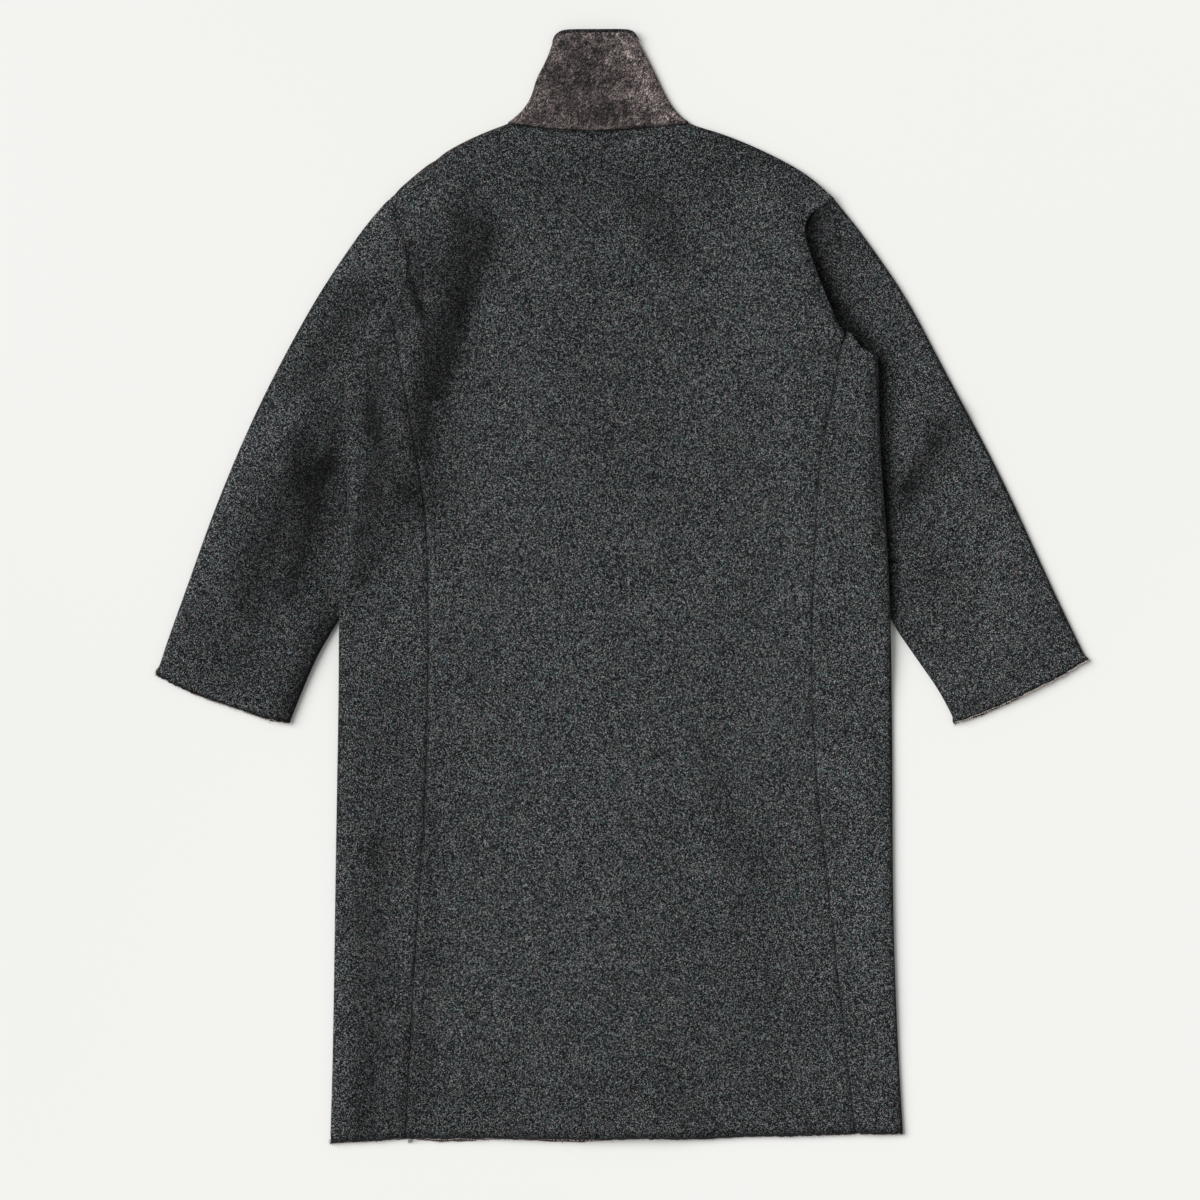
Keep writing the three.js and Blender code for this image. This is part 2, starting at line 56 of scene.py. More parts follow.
CLOTH = 2.6  # thickness of the cloth
SHARP_EDGE = math.radians(60)  # cut edges are sharper than this, and folded ones are rounder
EDGE_CREASE = 0.85  # how firmly the subdivided shells keep their cut edges
SAME_SEAM = 0.8  # two edges nearer than this are sewn together
HEM_BAND = 14  # the raw hem's edge faces lie within this height of the lowest point
HEM_SLANT = 0.7  # hems and cuffs face less to the side than this, and centre edges more
CUFF_TOP = -60  # the cut edges of a sleeve below this are its cuff, and the others are sewn
CENTRE_REACH = 70  # the centre edges lie this near to the middle
SAME_POINT = 0.01  # corners of the cut pieces' triangles nearer than this are one
PAIRED = math.radians(20)  # triangles that bend less than this become one face

LOFT = 3.6  # the laid cloth swells this much between its edges
LOFT_RUN = 80  # run over which it swells
RIM_SPACING = 8  # its edges are measured in steps of this length
WAVES = 2.2  # height of its faint long waves
SLEEVE_LOFT = 4.0
SLEEVE_LOFT_RUN = 50
SLEEVE_WAVES = 1.6
SLEEVE_CLEAR = 14  # its folds die out over this run beside the body that lies on it
COLLAR_LOFT = 3.0
COLLAR_LOFT_RUN = 30
COLLAR_RIM_SPACING = 3
PINCH = 0.9  # a felled seam lies this deep
PINCH_REACH = 3.2
WELT = 0.45  # and the turned cloth inside stands this proud beside it
WELT_PLACE = 7.5
WELT_REACH = 3.5
UPPER_SHARE = 0.25  # points whose "upper_half" passes this lie on a wall's upper side
DEEPEST = 0.3  # no trough goes further down than this into the cloth below

# ---------- folds


def fold(reach, rise, *line, **more):
    """A soft ridge along a line of points, or a trough where the rise is below zero.

    step: the cloth lies this much lower on the left of one who walks along the line, and levels
    out over the run. fade: it rises over this share of its line, from its first point on.
    sewn: a sleeve's fold that goes on under the body for this run. The others end before it.
    """
    return {"reach": reach, "rise": rise, "line": line, **more}


def painted_strokes(*rows):
    """Lines along which shade is painted on the wool, or light is painted where dark is below zero.

    Each row holds its reach, how dark it is, and the points of its line.
    """
    return [{"reach": reach, "dark": dark, "line": line} for reach, dark, *line in rows]


BODY_FOLDS = [
    fold(20, -2.0, (-170, 452), (-171, 361), (-180, 306), (-196, 271), (-203, 236), (-210, 200),
         (-214, 150), (-212, 80), step=4.2, run=16),
    fold(30, 4.2, (-236, 320), (-240, 270), (-246, 190), (-248, 110)),
    fold(6, -1.4, (-235, 372), (-232, 339), (-226, 320), (-216, 291), (-206, 255), step=2.6, run=4),
    fold(18, 0.8, (-224, 128), (-236, 100), (-252, 62), (-270, 24), (-296, -14), step=3.2, run=15),
    fold(24, 7.0, (197, 402), (204, 363), (213, 333), (228, 301), (241, 280), (260, 263),
         (278, 248), fade=0.35),
    fold(26, 4.4, (278, 250), (280, 180), (278, 90), (276, -10)),
    fold(36, 2.2, (160, 410), (172, 330), (190, 250), (206, 170)),
    fold(16, -2.4, (96, -170), (118, -225), (142, -285)),
    fold(20, 3.0, (64, -160), (82, -230), (112, -350)),
    fold(14, -2.6, (-270, -285), (-268, -400), (-270, -520)),
    fold(14, 2.2, (-252, -300), (-254, -420), (-250, -530)),
    fold(9, -1.0, (-222, -330), (-224, -430), step=0.8, run=7),
    fold(22, -3.0, (-154, 424), (-140, 392), (-133, 362)),
    fold(24, -2.8, (41, 434), (56, 404), (66, 372)),
    fold(70, 2.4, (-60, 300), (-30, 120), (-44, -60)),
    fold(42, -2.2, (150, 60), (160, -60), (150, -140)),
    fold(46, -2.0, (-120, -60), (-132, -210), (-118, -380)),
    fold(34, 1.6, (20, -440), (34, -520), (28, -596)),
    fold(20, 1.4, (262, 200), (268, 60), (262, -60)),
    fold(20, 1.6, (270, -210), (278, -330), (280, -470)),
]
SLEEVE_FOLDS = [
    fold(20, -3.8, (-312, 186), (-345, 110), (-372, 40), (-395, -20)),
    fold(24, 2.8, (-352, 196), (-392, 100), (-430, 10)),
    fold(18, 2.0, (-330, 60), (-338, -10), (-350, -70)),
    fold(15, 3.0, (366, 188), (330, 146), (300, 118), step=1.8, run=12),
    fold(13, -2.0, (322, 92), (350, 118), (384, 146)),
    fold(8, -2.2, (302, -42), (322, -60), (350, -78)),
    fold(11, 2.0, (310, -22), (340, -42), (372, -52)),
    fold(26, 2.4, (352, 40), (392, -20), (424, -92)),
    fold(18, 2.0, (252, 352), (276, 318), (300, 272)),
    fold(12, 3.2, (212, 412), (222, 419), (236, 426), sewn=6),
    fold(13, 2.4, (-322, -44), (-344, -92), (-366, -136)),
]
COLLAR_FOLDS = [
    fold(13, -1.6, (-92, 540), (-40, 556), (14, 548)),
    fold(10, 1.4, (-98, 522), (-30, 524), (46, 520)),
    fold(9, 1.2, (-50, 590), (-20, 576), (8, 584)),
]

STEP_ENDS = 0.2  # a step dies out over this share of its line at each end
STEP_FADE = 4  # and to the sides over this many times its run
WAVE_COUNT = 9
WAVE_LENGTHS = (130, 320)
BODY_SEED = 4
SLEEVE_SEED = 11

# Painted shade and painted light: along these lines the wool is darkened where shade falls, in the
# folds' valleys, the armholes and on sides turned from the light, and made paler where dark is below
# zero, on edges that face the light.
BODY_PAINTED_SHADING = painted_strokes(
    (21, 0.62, (-170, 392), (-172, 361), (-183, 306), (-199, 268), (-207, 236), (-212, 200),
     (-216, 150)),
    (13, 0.44, (-142, 384), (-154, 340), (-172, 290), (-192, 212)),
    (4, 0.5, (-235, 372), (-232, 339), (-226, 320), (-214, 291)),
    (9, 0.45, (-228, 368), (-221, 330), (-216, 304)),
    (17, 0.52, (-258, 305), (-270, 220), (-270, 130), (-277, 66)),
    (15, 0.36, (-278, 196), (-255, 150), (-238, 112), (-210, 72)),
    (22, 0.32, (-256, 100), (-190, 104)),
    (12, 0.34, (-286, 54), (-284, 10)),
    (12, 0.36, (-250, 216), (-238, 196)),
    (18, 0.3, (-250, 68), (-270, 26), (-296, -14)),
    (20, 0.2, (-164, 430), (-148, 404), (-136, 366)),
    (12, 0.36, (-206, 372), (-203, 340)),
    (12, 0.22, (-240, 330), (-238, 280)),
    (8, 0.42, (193, 398), (200, 362), (209, 332), (224, 300), (238, 276)),
    (6, -0.2, (206, 408), (232, 426)),
    (20, 0.3, (28, 412), (44, 392), (58, 356)),
    (14, 0.1, (96, -170), (118, -225), (142, -285)),
    (16, -0.16, (70, -190), (88, -250), (112, -350)),
    (11, 0.2, (44, -222), (58, -264)),
    (16, 0.46, (-266, -285), (-262, -400), (-264, -500), (-278, -585)),
    (8, -0.2, (-228, -330), (-229, -430)),
    (10, 0.28, (-208, -190), (-209, -260), (-210, -400)),
    (34, 0.24, (-240, -110), (-262, -200), (-262, -270)),
    (11, 0.26, (-287, -350), (-284, -500), (-290, -585)),
    (26, 0.24, (-228, -500), (-238, -576)),
    (17, 0.22, (-213, -400), (-212, -560)),
    (60, 0.12, (-150, -560), (0, -540), (160, -560)),
    (50, 0.14, (140, -310), (160, -480)),
    (46, 0.16, (-150, 468), (-60, 440), (0, 455), (60, 440)),
    (26, 0.2, (106, 472), (150, 456), (198, 426)),
    (6, 0.3, (98, 493), (160, 464), (206, 438)),
    (110, 0.1, (-40, 410), (-60, 250), (-40, 100)),
    (13, 0.24, (214, 258), (238, 252)),
    (5, 0.46, (291, -60), (294, -300), (303, -590)),
    (6, 0.46, (274, 246), (275, 140), (277, 50)),
    (6, -0.5, (-311, -260), (-313, -420), (-317, -598)),
    (24, -0.24, (252, -70), (246, -160), (250, -270), (272, -420)),
    (40, -0.14, (-10, 60), (20, 0), (-20, -60)),
    (2.2, 0.6, (-122, 502), (-74, 494), (-32, 492), (14, 497), (66, 503)),
)
# Painted shade and painted light on the sleeves.
SLEEVE_PAINTED_SHADING = painted_strokes(
    (23, 0.16, (-348, 112), (-372, 50), (-395, -20)),
    (14, 0.36, (-346, 160), (-354, 116)),
    (17, 0.5, (-326, 126), (-340, 60), (-356, -8)),
    (10, 0.44, (-307, 212), (-314, 166), (-318, 130)),
    (15, 0.68, (-318, -40), (-341, -90), (-370, -148)),
    (21, 0.5, (-288, 318), (-318, 270), (-350, 220)),
    (13, 0.16, (-404, 112), (-416, 44)),
    (60, 0.34, (-320, 110), (-380, 40), (-420, -60)),
    (14, -0.2, (-318, 214), (-350, 190)),
    (5, -0.5, (-404, 168), (-462, 18), (-503, -80)),
    (8, -0.3, (-262, 402), (-312, 338)),
    (11, 0.3, (212, 404), (228, 414)),
    (14, 0.86, (204, 398), (213, 348), (228, 310), (244, 286), (264, 262)),
    (13, 0.3, (232, 374), (244, 330), (252, 308)),
    (12, 0.8, (281, 246), (285, 160), (285, 60), (292, -20)),
    (12, 0.6, (312, 104), (326, 138), (344, 174)),
    (26, 0.28, (308, 96), (320, 50), (344, 0)),
    (20, 0.12, (236, 396), (256, 376), (284, 344)),
    (5, 0.5, (240, 424), (300, 332), (400, 142), (500, -66)),
    (8, 0.2, (302, -42), (322, -60), (350, -78)),
    (34, -0.24, (388, 70), (420, -20), (430, -90)),
    (12, -0.3, (318, 258), (322, 226)),
)
# Painted shade and painted light on the collar.
COLLAR_PAINTED_SHADING = painted_strokes(
    (12, 0.56, (-84, 556), (-68, 553), (-50, 544)),
    (9, 0.36, (-84, 540), (-64, 530)),
    (12, 0.5, (-70, 590), (-50, 582), (-38, 566)),
    (4, 0.8, (-30, 579), (-18, 580)),
    (12, 0.36, (-34, 536), (-18, 522)),
    (9, 0.36, (-62, 518), (-42, 508)),
    (8, 0.36, (-20, 558), (-4, 552), (6, 544)),
    (8, 0.42, (-34, 512), (-10, 508), (4, 512)),
    (4, 0.4, (22, 578), (30, 564)),
    (5, 0.3, (-106, 511), (-94, 513)),
    (4, 0.3, (30, 506), (40, 512)),
    (16, -0.86, (10, 586), (26, 552), (34, 530), (54, 512)),
    (11, -0.5, (0, 536), (18, 526)),
    (6, -0.4, (-18, 570), (8, 572), (14, 566)),
    (10, -1.0, (-78, 590), (-97, 548), (-106, 520), (-122, 504)),
    (1.4, -0.5, (-66, 597), (-54, 600), (0, 600), (12, 597)),
    (2.4, 0.8, (-122, 502), (-74, 494), (-32, 492), (14, 497), (66, 503)),
)
# Which table of painted shade and painted light each kind of piece takes.
PAINTED_SHADING = {"body": BODY_PAINTED_SHADING, "sleeve": SLEEVE_PAINTED_SHADING, "collar": COLLAR_PAINTED_SHADING, "front": []}
CUT_EDGE_PAINTED_SHADE = {"reach": 2.2, "dark": 0.55}  # painted shade along a cut edge
FOLD_EDGE_PAINTED_SHADE = {"reach": 1.2, "dark": 0.4}  # painted shade along a folded edge, turned from the light
# Painted shade along the sewn seams, where shade falls in their grooves.
SEAM_PAINTED_SHADE = {"reach": 1.3, "dark": 0.38}
# The most shade that is painted.
DARKEST_PAINTED_SHADE = 0.95

# Cloth that is turned over along a line and stands up as a fine ridge: the sleeves' elbow seams
# and the rim of the collar, where the tweed is rolled over the pile.
# dark: how much shade is painted over the whole ridge.
RIDGES = [
    {"piece": "elbow_seam_left", "cloth": "sleeve_cloth_left",
     "width": 1.5, "rise": 0.55, "dark": 0.0,
     "line": [(-371, 146), (-381, 127), (-391, 110), (-400, 90), (-408, 62), (-418, 20)]},
    {"piece": "elbow_seam_right", "cloth": "sleeve_cloth_right",
     "width": 1.5, "rise": 0.55, "dark": 0.0,
     "line": [(320, 84), (340, 57), (354, 36), (368, 12), (387, -20), (412, -60), (436, -97),
              (446, -111)]},
    {"piece": "collar_rim", "cloth": "collar_cloth", "width": 4.0, "rise": 0.9, "dark": 0.5,
     "line": [(-75.0, 590.0), (-73.2, 594.0), (-70.0, 598.0), (-65.0, 600.8), (-56.0, 602.1),
              (-24.0, 602.4), (3.0, 602.3), (11.0, 600.6), (15.0, 597.6), (18.4, 592.6)]},
]
RIDGE_STEP = 2.5
RIDGE_SIDES = 6
RIDGE_SINK = 0.1  # a ridge lies this share of its rise in the cloth
RIDGE_TIP = 0.25  # its ends are this small
RIDGE_GROWTH = 0.2  # and grow by this share a step
ABOVE = 100  # the cloth below a point is looked for from this height

# The edges of the coat's second layer show past the first one here.
PEEKS = [
    {"cloth": "sleeve_cloth_right", "from": (366, -146), "to": (432, -112), "by": (0.7, -1.8)},
    {"cloth": "front_cloth_left", "from": (-205, -602), "to": (-150, -602), "by": (0.0, -0.3)},
    {"cloth": "front_cloth_left", "from": (-84, -602), "to": (-36, -602), "by": (0.0, -0.2)},
]
PEEK_FADE = 9  # a peeking edge draws back over this run at its ends
PEEK_FROM = 2  # it goes out whole this near to its line
PEEK_DEPTH = 26  # and the cloth behind it follows over this depth

# Places where the edges were pulled out or in, over a small reach.
COLLAR = ["collar_cloth"]
LEFT_SLEEVE = ["sleeve_cloth_left"]
RIGHT_SLEEVE = ["sleeve_cloth_right"]
RIGHT_PANEL = ["side_cloth_right"]
RIGHT_SEAM = ["back_cloth", "side_cloth_right"]
ALL_LEFT = ["back_cloth", "sleeve_cloth_left", "front_cloth_left"]
RIGHT_SIDE = ["back_cloth", "side_cloth_right", "front_cloth_left", "front_cloth_right"]
NECK = ["collar_cloth", "back_cloth", "front_cloth_left", "front_cloth_right"]

# Each row: the cloths, the place, the reach, and how far to x and to y.
PULLS = [
    (NECK, (-124, 502), 10, (1.9, 0.6)),
    (NECK, (69, 503), 10, (-1.6, 0.8)),
    (COLLAR, (-123, 502), 6, (-1.2, -1.9)),
    (COLLAR, (68, 504), 6, (0.6, -1.0)),
    (COLLAR, (-94, 552), 17, (-2.4, 0.2)),
    (COLLAR, (-72.5, 604), 4.5, (2.4, -2.6)),
    (COLLAR, (16, 604), 4.5, (-2.2, -2.6)),
    (LEFT_SLEEVE, (-505, -93), 4, (-2.6, 0.6)),
    (RIGHT_SLEEVE, (504, -81), 4, (2.4, 0.7)),
    (RIGHT_SLEEVE, (363, -147), 4, (-2.4, -0.4)),
    (RIGHT_SLEEVE, (428, -124), 42, (-0.6, 1.4)),
    (RIGHT_SLEEVE, (310, 320), 60, (1.2, 0.7)),
    (RIGHT_SLEEVE, (400, 130), 80, (1.0, 0.6)),
    (LEFT_SLEEVE, (-385, -146), 20, (-0.5, -1.3)),
    (RIGHT_SIDE, (298, -280), 150, (1.1, 0.0)),
    (RIGHT_SIDE, (282, 150), 70, (-2.0, 0.0)),
    (COLLAR, (-30, 604), 40, (0.0, -0.9)),
    (RIGHT_SLEEVE, (330, -80), 26, (-0.4, -0.6)),
    (ALL_LEFT, (-201, 463), 7, (0.9, -1.0)),
    (ALL_LEFT, (-249, 424), 7, (1.0, -1.0)),
    (RIGHT_SEAM, (241, 270), 11, (5.0, 5.5)),
    (RIGHT_PANEL, (263, 262), 8, (-1.0, -2.6)),
]

# A cut edge slopes out towards its pile side, and wanders in and out.
CUT_SLOPE = 0.9
CUT_BACK = 0.2  # and its fibres are worn back from the line that it was cut along
CUT_WANDER = [{"length": 3.6, "amount": 1.3}, {"length": 38.0, "amount": 0.6}]

# Loose fibres on the cut edges. Length and thickness in millimetres, and how many to 100 mm of
# edge for each of the three layers of the cloth: tweed, binding core and pile.
FRAY = {"lengths": (0.4, 1.8), "long": 4.5, "long_share": 0.05, "thickness": 0.24,
        "uneven": (0.7, 1.5)}
FRAY_COUNT = {"tweed": 150, "core": 70, "pile": 50}
# The pale core is combed out more along these lines: the reach, how many times more, the line.
COMBED = {
    "sleeve_cloth_right": [(5, 22, (440, -115), (476, -98), (503, -82)),
                           (5, 16, (368, -146), (400, -132), (434, -114))],
    "sleeve_cloth_left": [(5, 3, (-490, -102), (-440, -124), (-380, -145))],
    "back_cloth": [(6, 5, (-205, -602), (-154, -602)), (6, 5, (-72, -602), (-34, -602))],
    "side_cloth_right": [(6, 3, (258, -598), (296, -597))],
}
TUFT = {"count": 30, "spread": 1.4, "length": 2.8, "thickness": (1.4, 2.8), "turn": 0.45,
        "lift": 0.25, "lowest": 0.5, "tones": (0, 0.16)}
COMBED_FROM = 1.6  # where this much more is combed out, it lies over the tweed's edge
COMBED_RISE = 1.3
TWEED_SHARE = 0.62  # the tweed's share of an edge's height begins here, from the pile up
CORE_SHARE = 0.34  # and the core's here
CORE_LIFT = 0.6  # the core's fibres rise by this share of the way that they stand out
FIBRE_SPREAD = (0.5, 0.5, 0.3)
FIBRE_ROOT = 0.3  # they start this deep in the edge
FIBRE_BEND = 0.35
FIBRE_TAPER = 0.6
FIBRE_TONES = {"tweed": (0, 0.3), "pile": (0.38, 0.64), "core": (0.7, 1)}
FLOOR_CLEAR = 0.02

# ---------- the pieces


def cut_piece(node, shell, nap, flat, area, rests_on, raw=("hem",), levels=3, top_face="tweed"):
    """A piece of cloth, its new shell, its flat size and area in metres and what it lies on.

    raw: its unsewn edges. levels: how fine its shell is. top_face: the side that looks up.
    """
    return {"node": node, "shell": shell, "nap": nap, "flat": flat, "area": area,
            "rests_on": rests_on, "raw": raw, "levels": levels, "top_face": top_face}


FRONT = {"raw": ("hem", "centre"), "levels": 2, "top_face": "pile"}
PIECES = [
    cut_piece("back_center", "back_cloth", "body", (0.515, 1.105), 0.483,
              ["front_left", "front_right", "sleeve_left", "sleeve_right"]),
    cut_piece("side_panel_left", "side_cloth_left", "body", (0.2, 0.905), 0.147, ["sleeve_left"]),
    cut_piece("side_panel_right", "side_cloth_right", "body", (0.19, 0.868), 0.132,
              ["sleeve_right"]),
    cut_piece("front_left", "front_cloth_left", "front", (0.285, 1.107), 0.25, ["floor"], **FRONT),
    cut_piece("front_right", "front_cloth_right", "front", (0.285, 1.103), 0.263, ["front_left"],
              **FRONT),
    cut_piece("sleeve_left", "sleeve_cloth_left", "sleeve", (0.67, 0.62), 0.168, ["floor"]),
    cut_piece("sleeve_right", "sleeve_cloth_right", "sleeve", (0.67, 0.62), 0.17, ["floor"]),
    cut_piece("collar", "collar_cloth", "collar", (0.57, 0.104), 0.046, ["front_left"],
              raw=("centre",), top_face="pile"),
]
BODY_CLOTHS = ["back_cloth", "side_cloth_left", "side_cloth_right"]
TWEED, PILE, RAW = 0, 1, 2  # the material places of every shell
CHUNK = 20000  # points that are worked on at a time

# ---------- finishes


class Socket:
    """One output of a finish's nodes, so that sums on it read as plain sums."""

    def __init__(self, finish, output):
        self.finish = finish
        self.output = output

    def maths(self, operation, *values):
        inputs = dict(enumerate(values))
        return self.finish.node("Math", {"operation": operation}, inputs)

    def __add__(self, other):
        return self.maths("ADD", self, other)

    def __radd__(self, other):
        return self.maths("ADD", other, self)

    def __sub__(self, other):
        return self.maths("SUBTRACT", self, other)

    def __rsub__(self, other):
        return self.maths("SUBTRACT", other, self)

    def __mul__(self, other):
        return self.maths("MULTIPLY", self, other)

    def __rmul__(self, other):
        return self.maths("MULTIPLY", other, self)

    def clamped(self):
        return self.finish.node("Clamp", None, {"Value": self})

    def between(self, low, high):
        """0 below low, 1 above high, and soft in between."""
        inputs = {"Value": self, "From Min": low, "From Max": high}
        settings = {"interpolation_type": "SMOOTHSTEP"}
        return self.finish.node("MapRange", settings, inputs)


class Finish:
    """A material, made of nodes."""

    def __init__(self, name):
        self.material = bpy.data.materials.new(name)
        self.material.use_nodes = True
        self.tree = self.material.node_tree
        self.tree.nodes.clear()

    def node(self, kind, settings=None, inputs=None, output=0):
        made = self.tree.nodes.new("ShaderNode" + kind)
        for name, value in (settings or {}).items():
            if name == "stops":
                self.set_stops(made.color_ramp, value)
            else:
                setattr(made, name, value)
        for name, value in (inputs or {}).items():
            if isinstance(value, Socket):
                self.tree.links.new(value.output, made.inputs[name])
            else:
                made.inputs[name].default_value = value
        return Socket(self, made.outputs[output]) if made.outputs else None

    def set_stops(self, ramp, stops):
        while len(ramp.elements) < len(stops):
            ramp.elements.new(1)
        for element, (place, colour) in zip(ramp.elements, stops):
            element.position = place
            element.color = (*colour, 1)

    def place(self):
        """Object coordinates in millimetres."""
        metres = self.node("TexCoord", output="Object")
        return self.scaled(metres, (1 / MM, 1 / MM, 1 / MM))

    def scaled(self, vector, factors):
        inputs = {0: vector, 1: factors}
        return self.node("VectorMath", {"operation": "MULTIPLY"}, inputs)

    def shifted(self, vector, wander, amount):
        """A place moved about by a noise colour, by up to the amount each way."""
        settings = {"operation": "MULTIPLY_ADD"}
        inputs = {0: wander, 1: (0.5, 0.5, 0.5)}
        centred = self.node("VectorMath", {"operation": "SUBTRACT"}, inputs)
        return self.node("VectorMath", settings, {0: centred, 1: (2 * amount,) * 3, 2: vector})

    def noise(self, vector, size, detail=2, roughness=0.5, output=0):
        """Cloudy noise whose lumps are about the given size in millimetres."""
        inputs = {"Vector": vector, "Scale": 1 / size, "Detail": detail, "Roughness": roughness}
        return self.node("TexNoise", None, inputs, output)

    def cells(self, vector, size):
        """Irregular cells of about the given size in millimetres, each of its own colour."""
        return self.node("TexVoronoi", None, {"Vector": vector, "Scale": 1 / size}, "Color")

    def stretched(self, vector, turn, factor):
        """The place, for a pattern that is drawn out along a direction."""
        inputs = {"Vector": vector, "Rotation": (0, 0, turn), "Scale": (factor, 1, 1)}
        return self.node("Mapping", {"vector_type": "TEXTURE"}, inputs)

    def painted_light_and_shade(self, colour):
        """The colour, darkened by painted shade where the shading attribute is above zero, and paled
        by painted light where it is below.
        """
        nap = self.node("Attribute", {"attribute_name": "nap"}, output="Fac")
        darker = self.blend(nap.clamped(), colour, PAINTED_SHADE_TONE, "MULTIPLY")
        return self.blend((0 - nap).clamped(), darker, PAINTED_LIGHT_TONE, "DODGE")

    def channel(self, colour, name):
        return self.node("SeparateColor", None, {"Color": colour}, name)

    def ramp(self, value, stops):
        return self.node("ValToRGB", {"stops": stops}, {"Fac": value})

    def tones(self, value, *stops):
        """A ramp whose stops are a place and a colour as on a screen."""
        return self.ramp(value, [(place, tone(*screen)) for place, *screen in stops])

    def blend(self, mask, one, other, way="MIX"):
        settings = {"data_type": "RGBA", "blend_type": way}
        return self.node("Mix", settings, {0: mask, 6: one, 7: other}, 2)

    def bump(self, height, depth, strength):
        """The height is in shares of the depth, which is in millimetres."""
        inputs = {"Height": height, "Distance": depth * MM, "Strength": strength}
        return self.node("Bump", None, inputs)

    def surface(self, colour, roughness, shine, sheen=0.0, normal=None):
        inputs = {"Base Color": colour, "Roughness": roughness, "Specular IOR Level": shine}
        inputs.update({"Sheen Weight": sheen, "Sheen Roughness": 0.5})
        if normal is not None:
            inputs["Normal"] = normal
        shader = self.node("BsdfPrincipled", None, inputs)
        self.node("OutputMaterial", None, {"Surface": shader})
        return self.material


def tone(red, green, blue):
    """A colour given as on a screen, 0 to 255, in the linear values that the shader takes."""
    shares = [value / 255 for value in (red, green, blue)]
    return tuple(s / 12.92 if s <= 0.04045 else ((s + 0.055) / 1.055) ** 2.4 for s in shares)


# Painted shade is blended in with the first tone, and painted light with the second.
PAINTED_SHADE_TONE = (0.09, 0.085, 0.085, 1)
PAINTED_LIGHT_TONE = (0.58, 0.58, 0.58, 1)


def tweed_finish():
    """Charcoal wool tweed: pale, dark and tinted fibres carded together, 1 mm to a fleck."""
    tweed = Finish("tweed_face")
    place = tweed.place()
    wander = tweed.noise(place, 0.6, 2, output="Color")
    loose = tweed.shifted(place, wander, 0.22)
    leaning = tweed.cells(tweed.stretched(loose, math.radians(48), 1.8), 0.66)
    crossing = tweed.cells(tweed.stretched(loose, math.radians(-42), 1.8), 0.66)
    crosses = tweed.channel(tweed.cells(loose, 1.6), "Blue").between(0.46, 0.54)
    ends = tweed.blend(crosses, leaning, crossing)
    clouds = tweed.noise(place, 60, 3) - 0.5
    fibres = tweed.noise(place, 0.2, 2) - 0.5
    shade = tweed.channel(ends, "Red") + clouds * 0.07 + fibres * 0.16
    greys = tweed.tones(
        shade, (0.04, 3, 4, 5), (0.26, 10, 12, 13), (0.5, 27, 30, 32), (0.74, 58, 61, 63),
        (0.97, 147, 148, 148),
    )
    tints = tweed.ramp(tweed.channel(ends, "Green") * 0.7 + tweed.noise(place, 9, 2) * 0.3, [
        (0.2, (0.78, 1.02, 1.1)), (0.42, (0.9, 1.06, 1.0)), (0.58, (1.1, 1.0, 0.88)),
        (0.8, (1.1, 0.93, 1.1)),
    ])
    # painted shade and painted light on the tweed's colour
    colour = tweed.painted_light_and_shade(tweed.blend(1.0, greys, tints, "MULTIPLY"))
    relief = tweed.channel(ends, "Blue") + fibres
    return tweed.surface(colour, 0.95, 0.1, 0.08, tweed.bump(relief, 0.35, 0.6))


def pile_finish():
    """Crushed taupe pile in pale and dark patches laid out at random: partly its own colour, partly
    painted sheen for pile that leans to the light or away from it.
    """
    pile = Finish("pile_face")
    place = pile.place()
    wander = pile.noise(place, 14, 3, output="Color")
    brushed = pile.shifted(place, wander, 5)
    patches = pile.noise(brushed, 10, 4, 0.65)
    streaks = pile.noise(pile.stretched(brushed, math.radians(40), 1.7), 2.6, 3, 0.65)
    tufts = pile.cells(pile.stretched(pile.shifted(place, wander, 1.5), math.radians(52), 1.7), 0.9)
    # pale and dark patches at random, partly painted sheen
    lean = patches * 0.42 + streaks * 0.3 + pile.channel(tufts, "Red") * 0.28
    # painted shade and painted light on the pile's colour
    colour = pile.painted_light_and_shade(pile.tones(
        lean, (0.3, 16, 15, 17), (0.41, 38, 35, 36), (0.5, 68, 61, 61), (0.6, 108, 98, 96),
        (0.74, 172, 160, 156),
    ))
    relief = streaks + pile.channel(tufts, "Red") * 0.5
    return pile.surface(colour, 0.9, 0.1, 0.15, pile.bump(relief, 1.0, 0.5))


def raw_finish():
    """The cut edge: dark tweed on one side, a pale binding core, and the brown pile."""
    raw = Finish("raw_edge")
    place = raw.place()
    side = raw.node("Attribute", {"attribute_name": "tweed_side"}, output="Fac")
    ragged = side + (raw.noise(place, 1.1, 2) - 0.5) * 0.5
    layers = raw.tones(
        ragged, (0.16, 96, 76, 76), (0.34, 150, 128, 124), (0.48, 205, 190, 184),
        (0.6, 92, 84, 84), (0.74, 34, 34, 36),
    )
    fibres = raw.noise(raw.scaled(place, (1.0, 1.0, 0.4)), 0.35, 2)
    return raw.surface(layers, 0.95, 0.1, 0.2, raw.bump(fibres, 0.5, 0.8))


def fibre_finish():
    """Loose fibres, each of its own tone: charcoal wool, the pale core or the brown pile."""
    fibre = Finish("loose_fibre")
    own = fibre.node("Attribute", {"attribute_name": "fibre_tone"}, output="Fac")
    colour = fibre.tones(
        own, (0.0, 14, 15, 17), (0.3, 46, 46, 48), (0.42, 74, 50, 46), (0.62, 120, 92, 86),
        (0.72, 214, 200, 192), (1.0, 250, 244, 238),
    )
    return fibre.surface(colour, 0.9, 0.1, 0.1)


def floor_finish():
    """Matt white board."""
    board = Finish("white_board")
    grain = board.noise(board.place(), 900, 1)
    colour = board.tones(grain, (0.3, 240, 240, 237), (0.7, 242, 242, 240))
    return board.surface(colour, 0.9, 0.05)


# ---------- shells


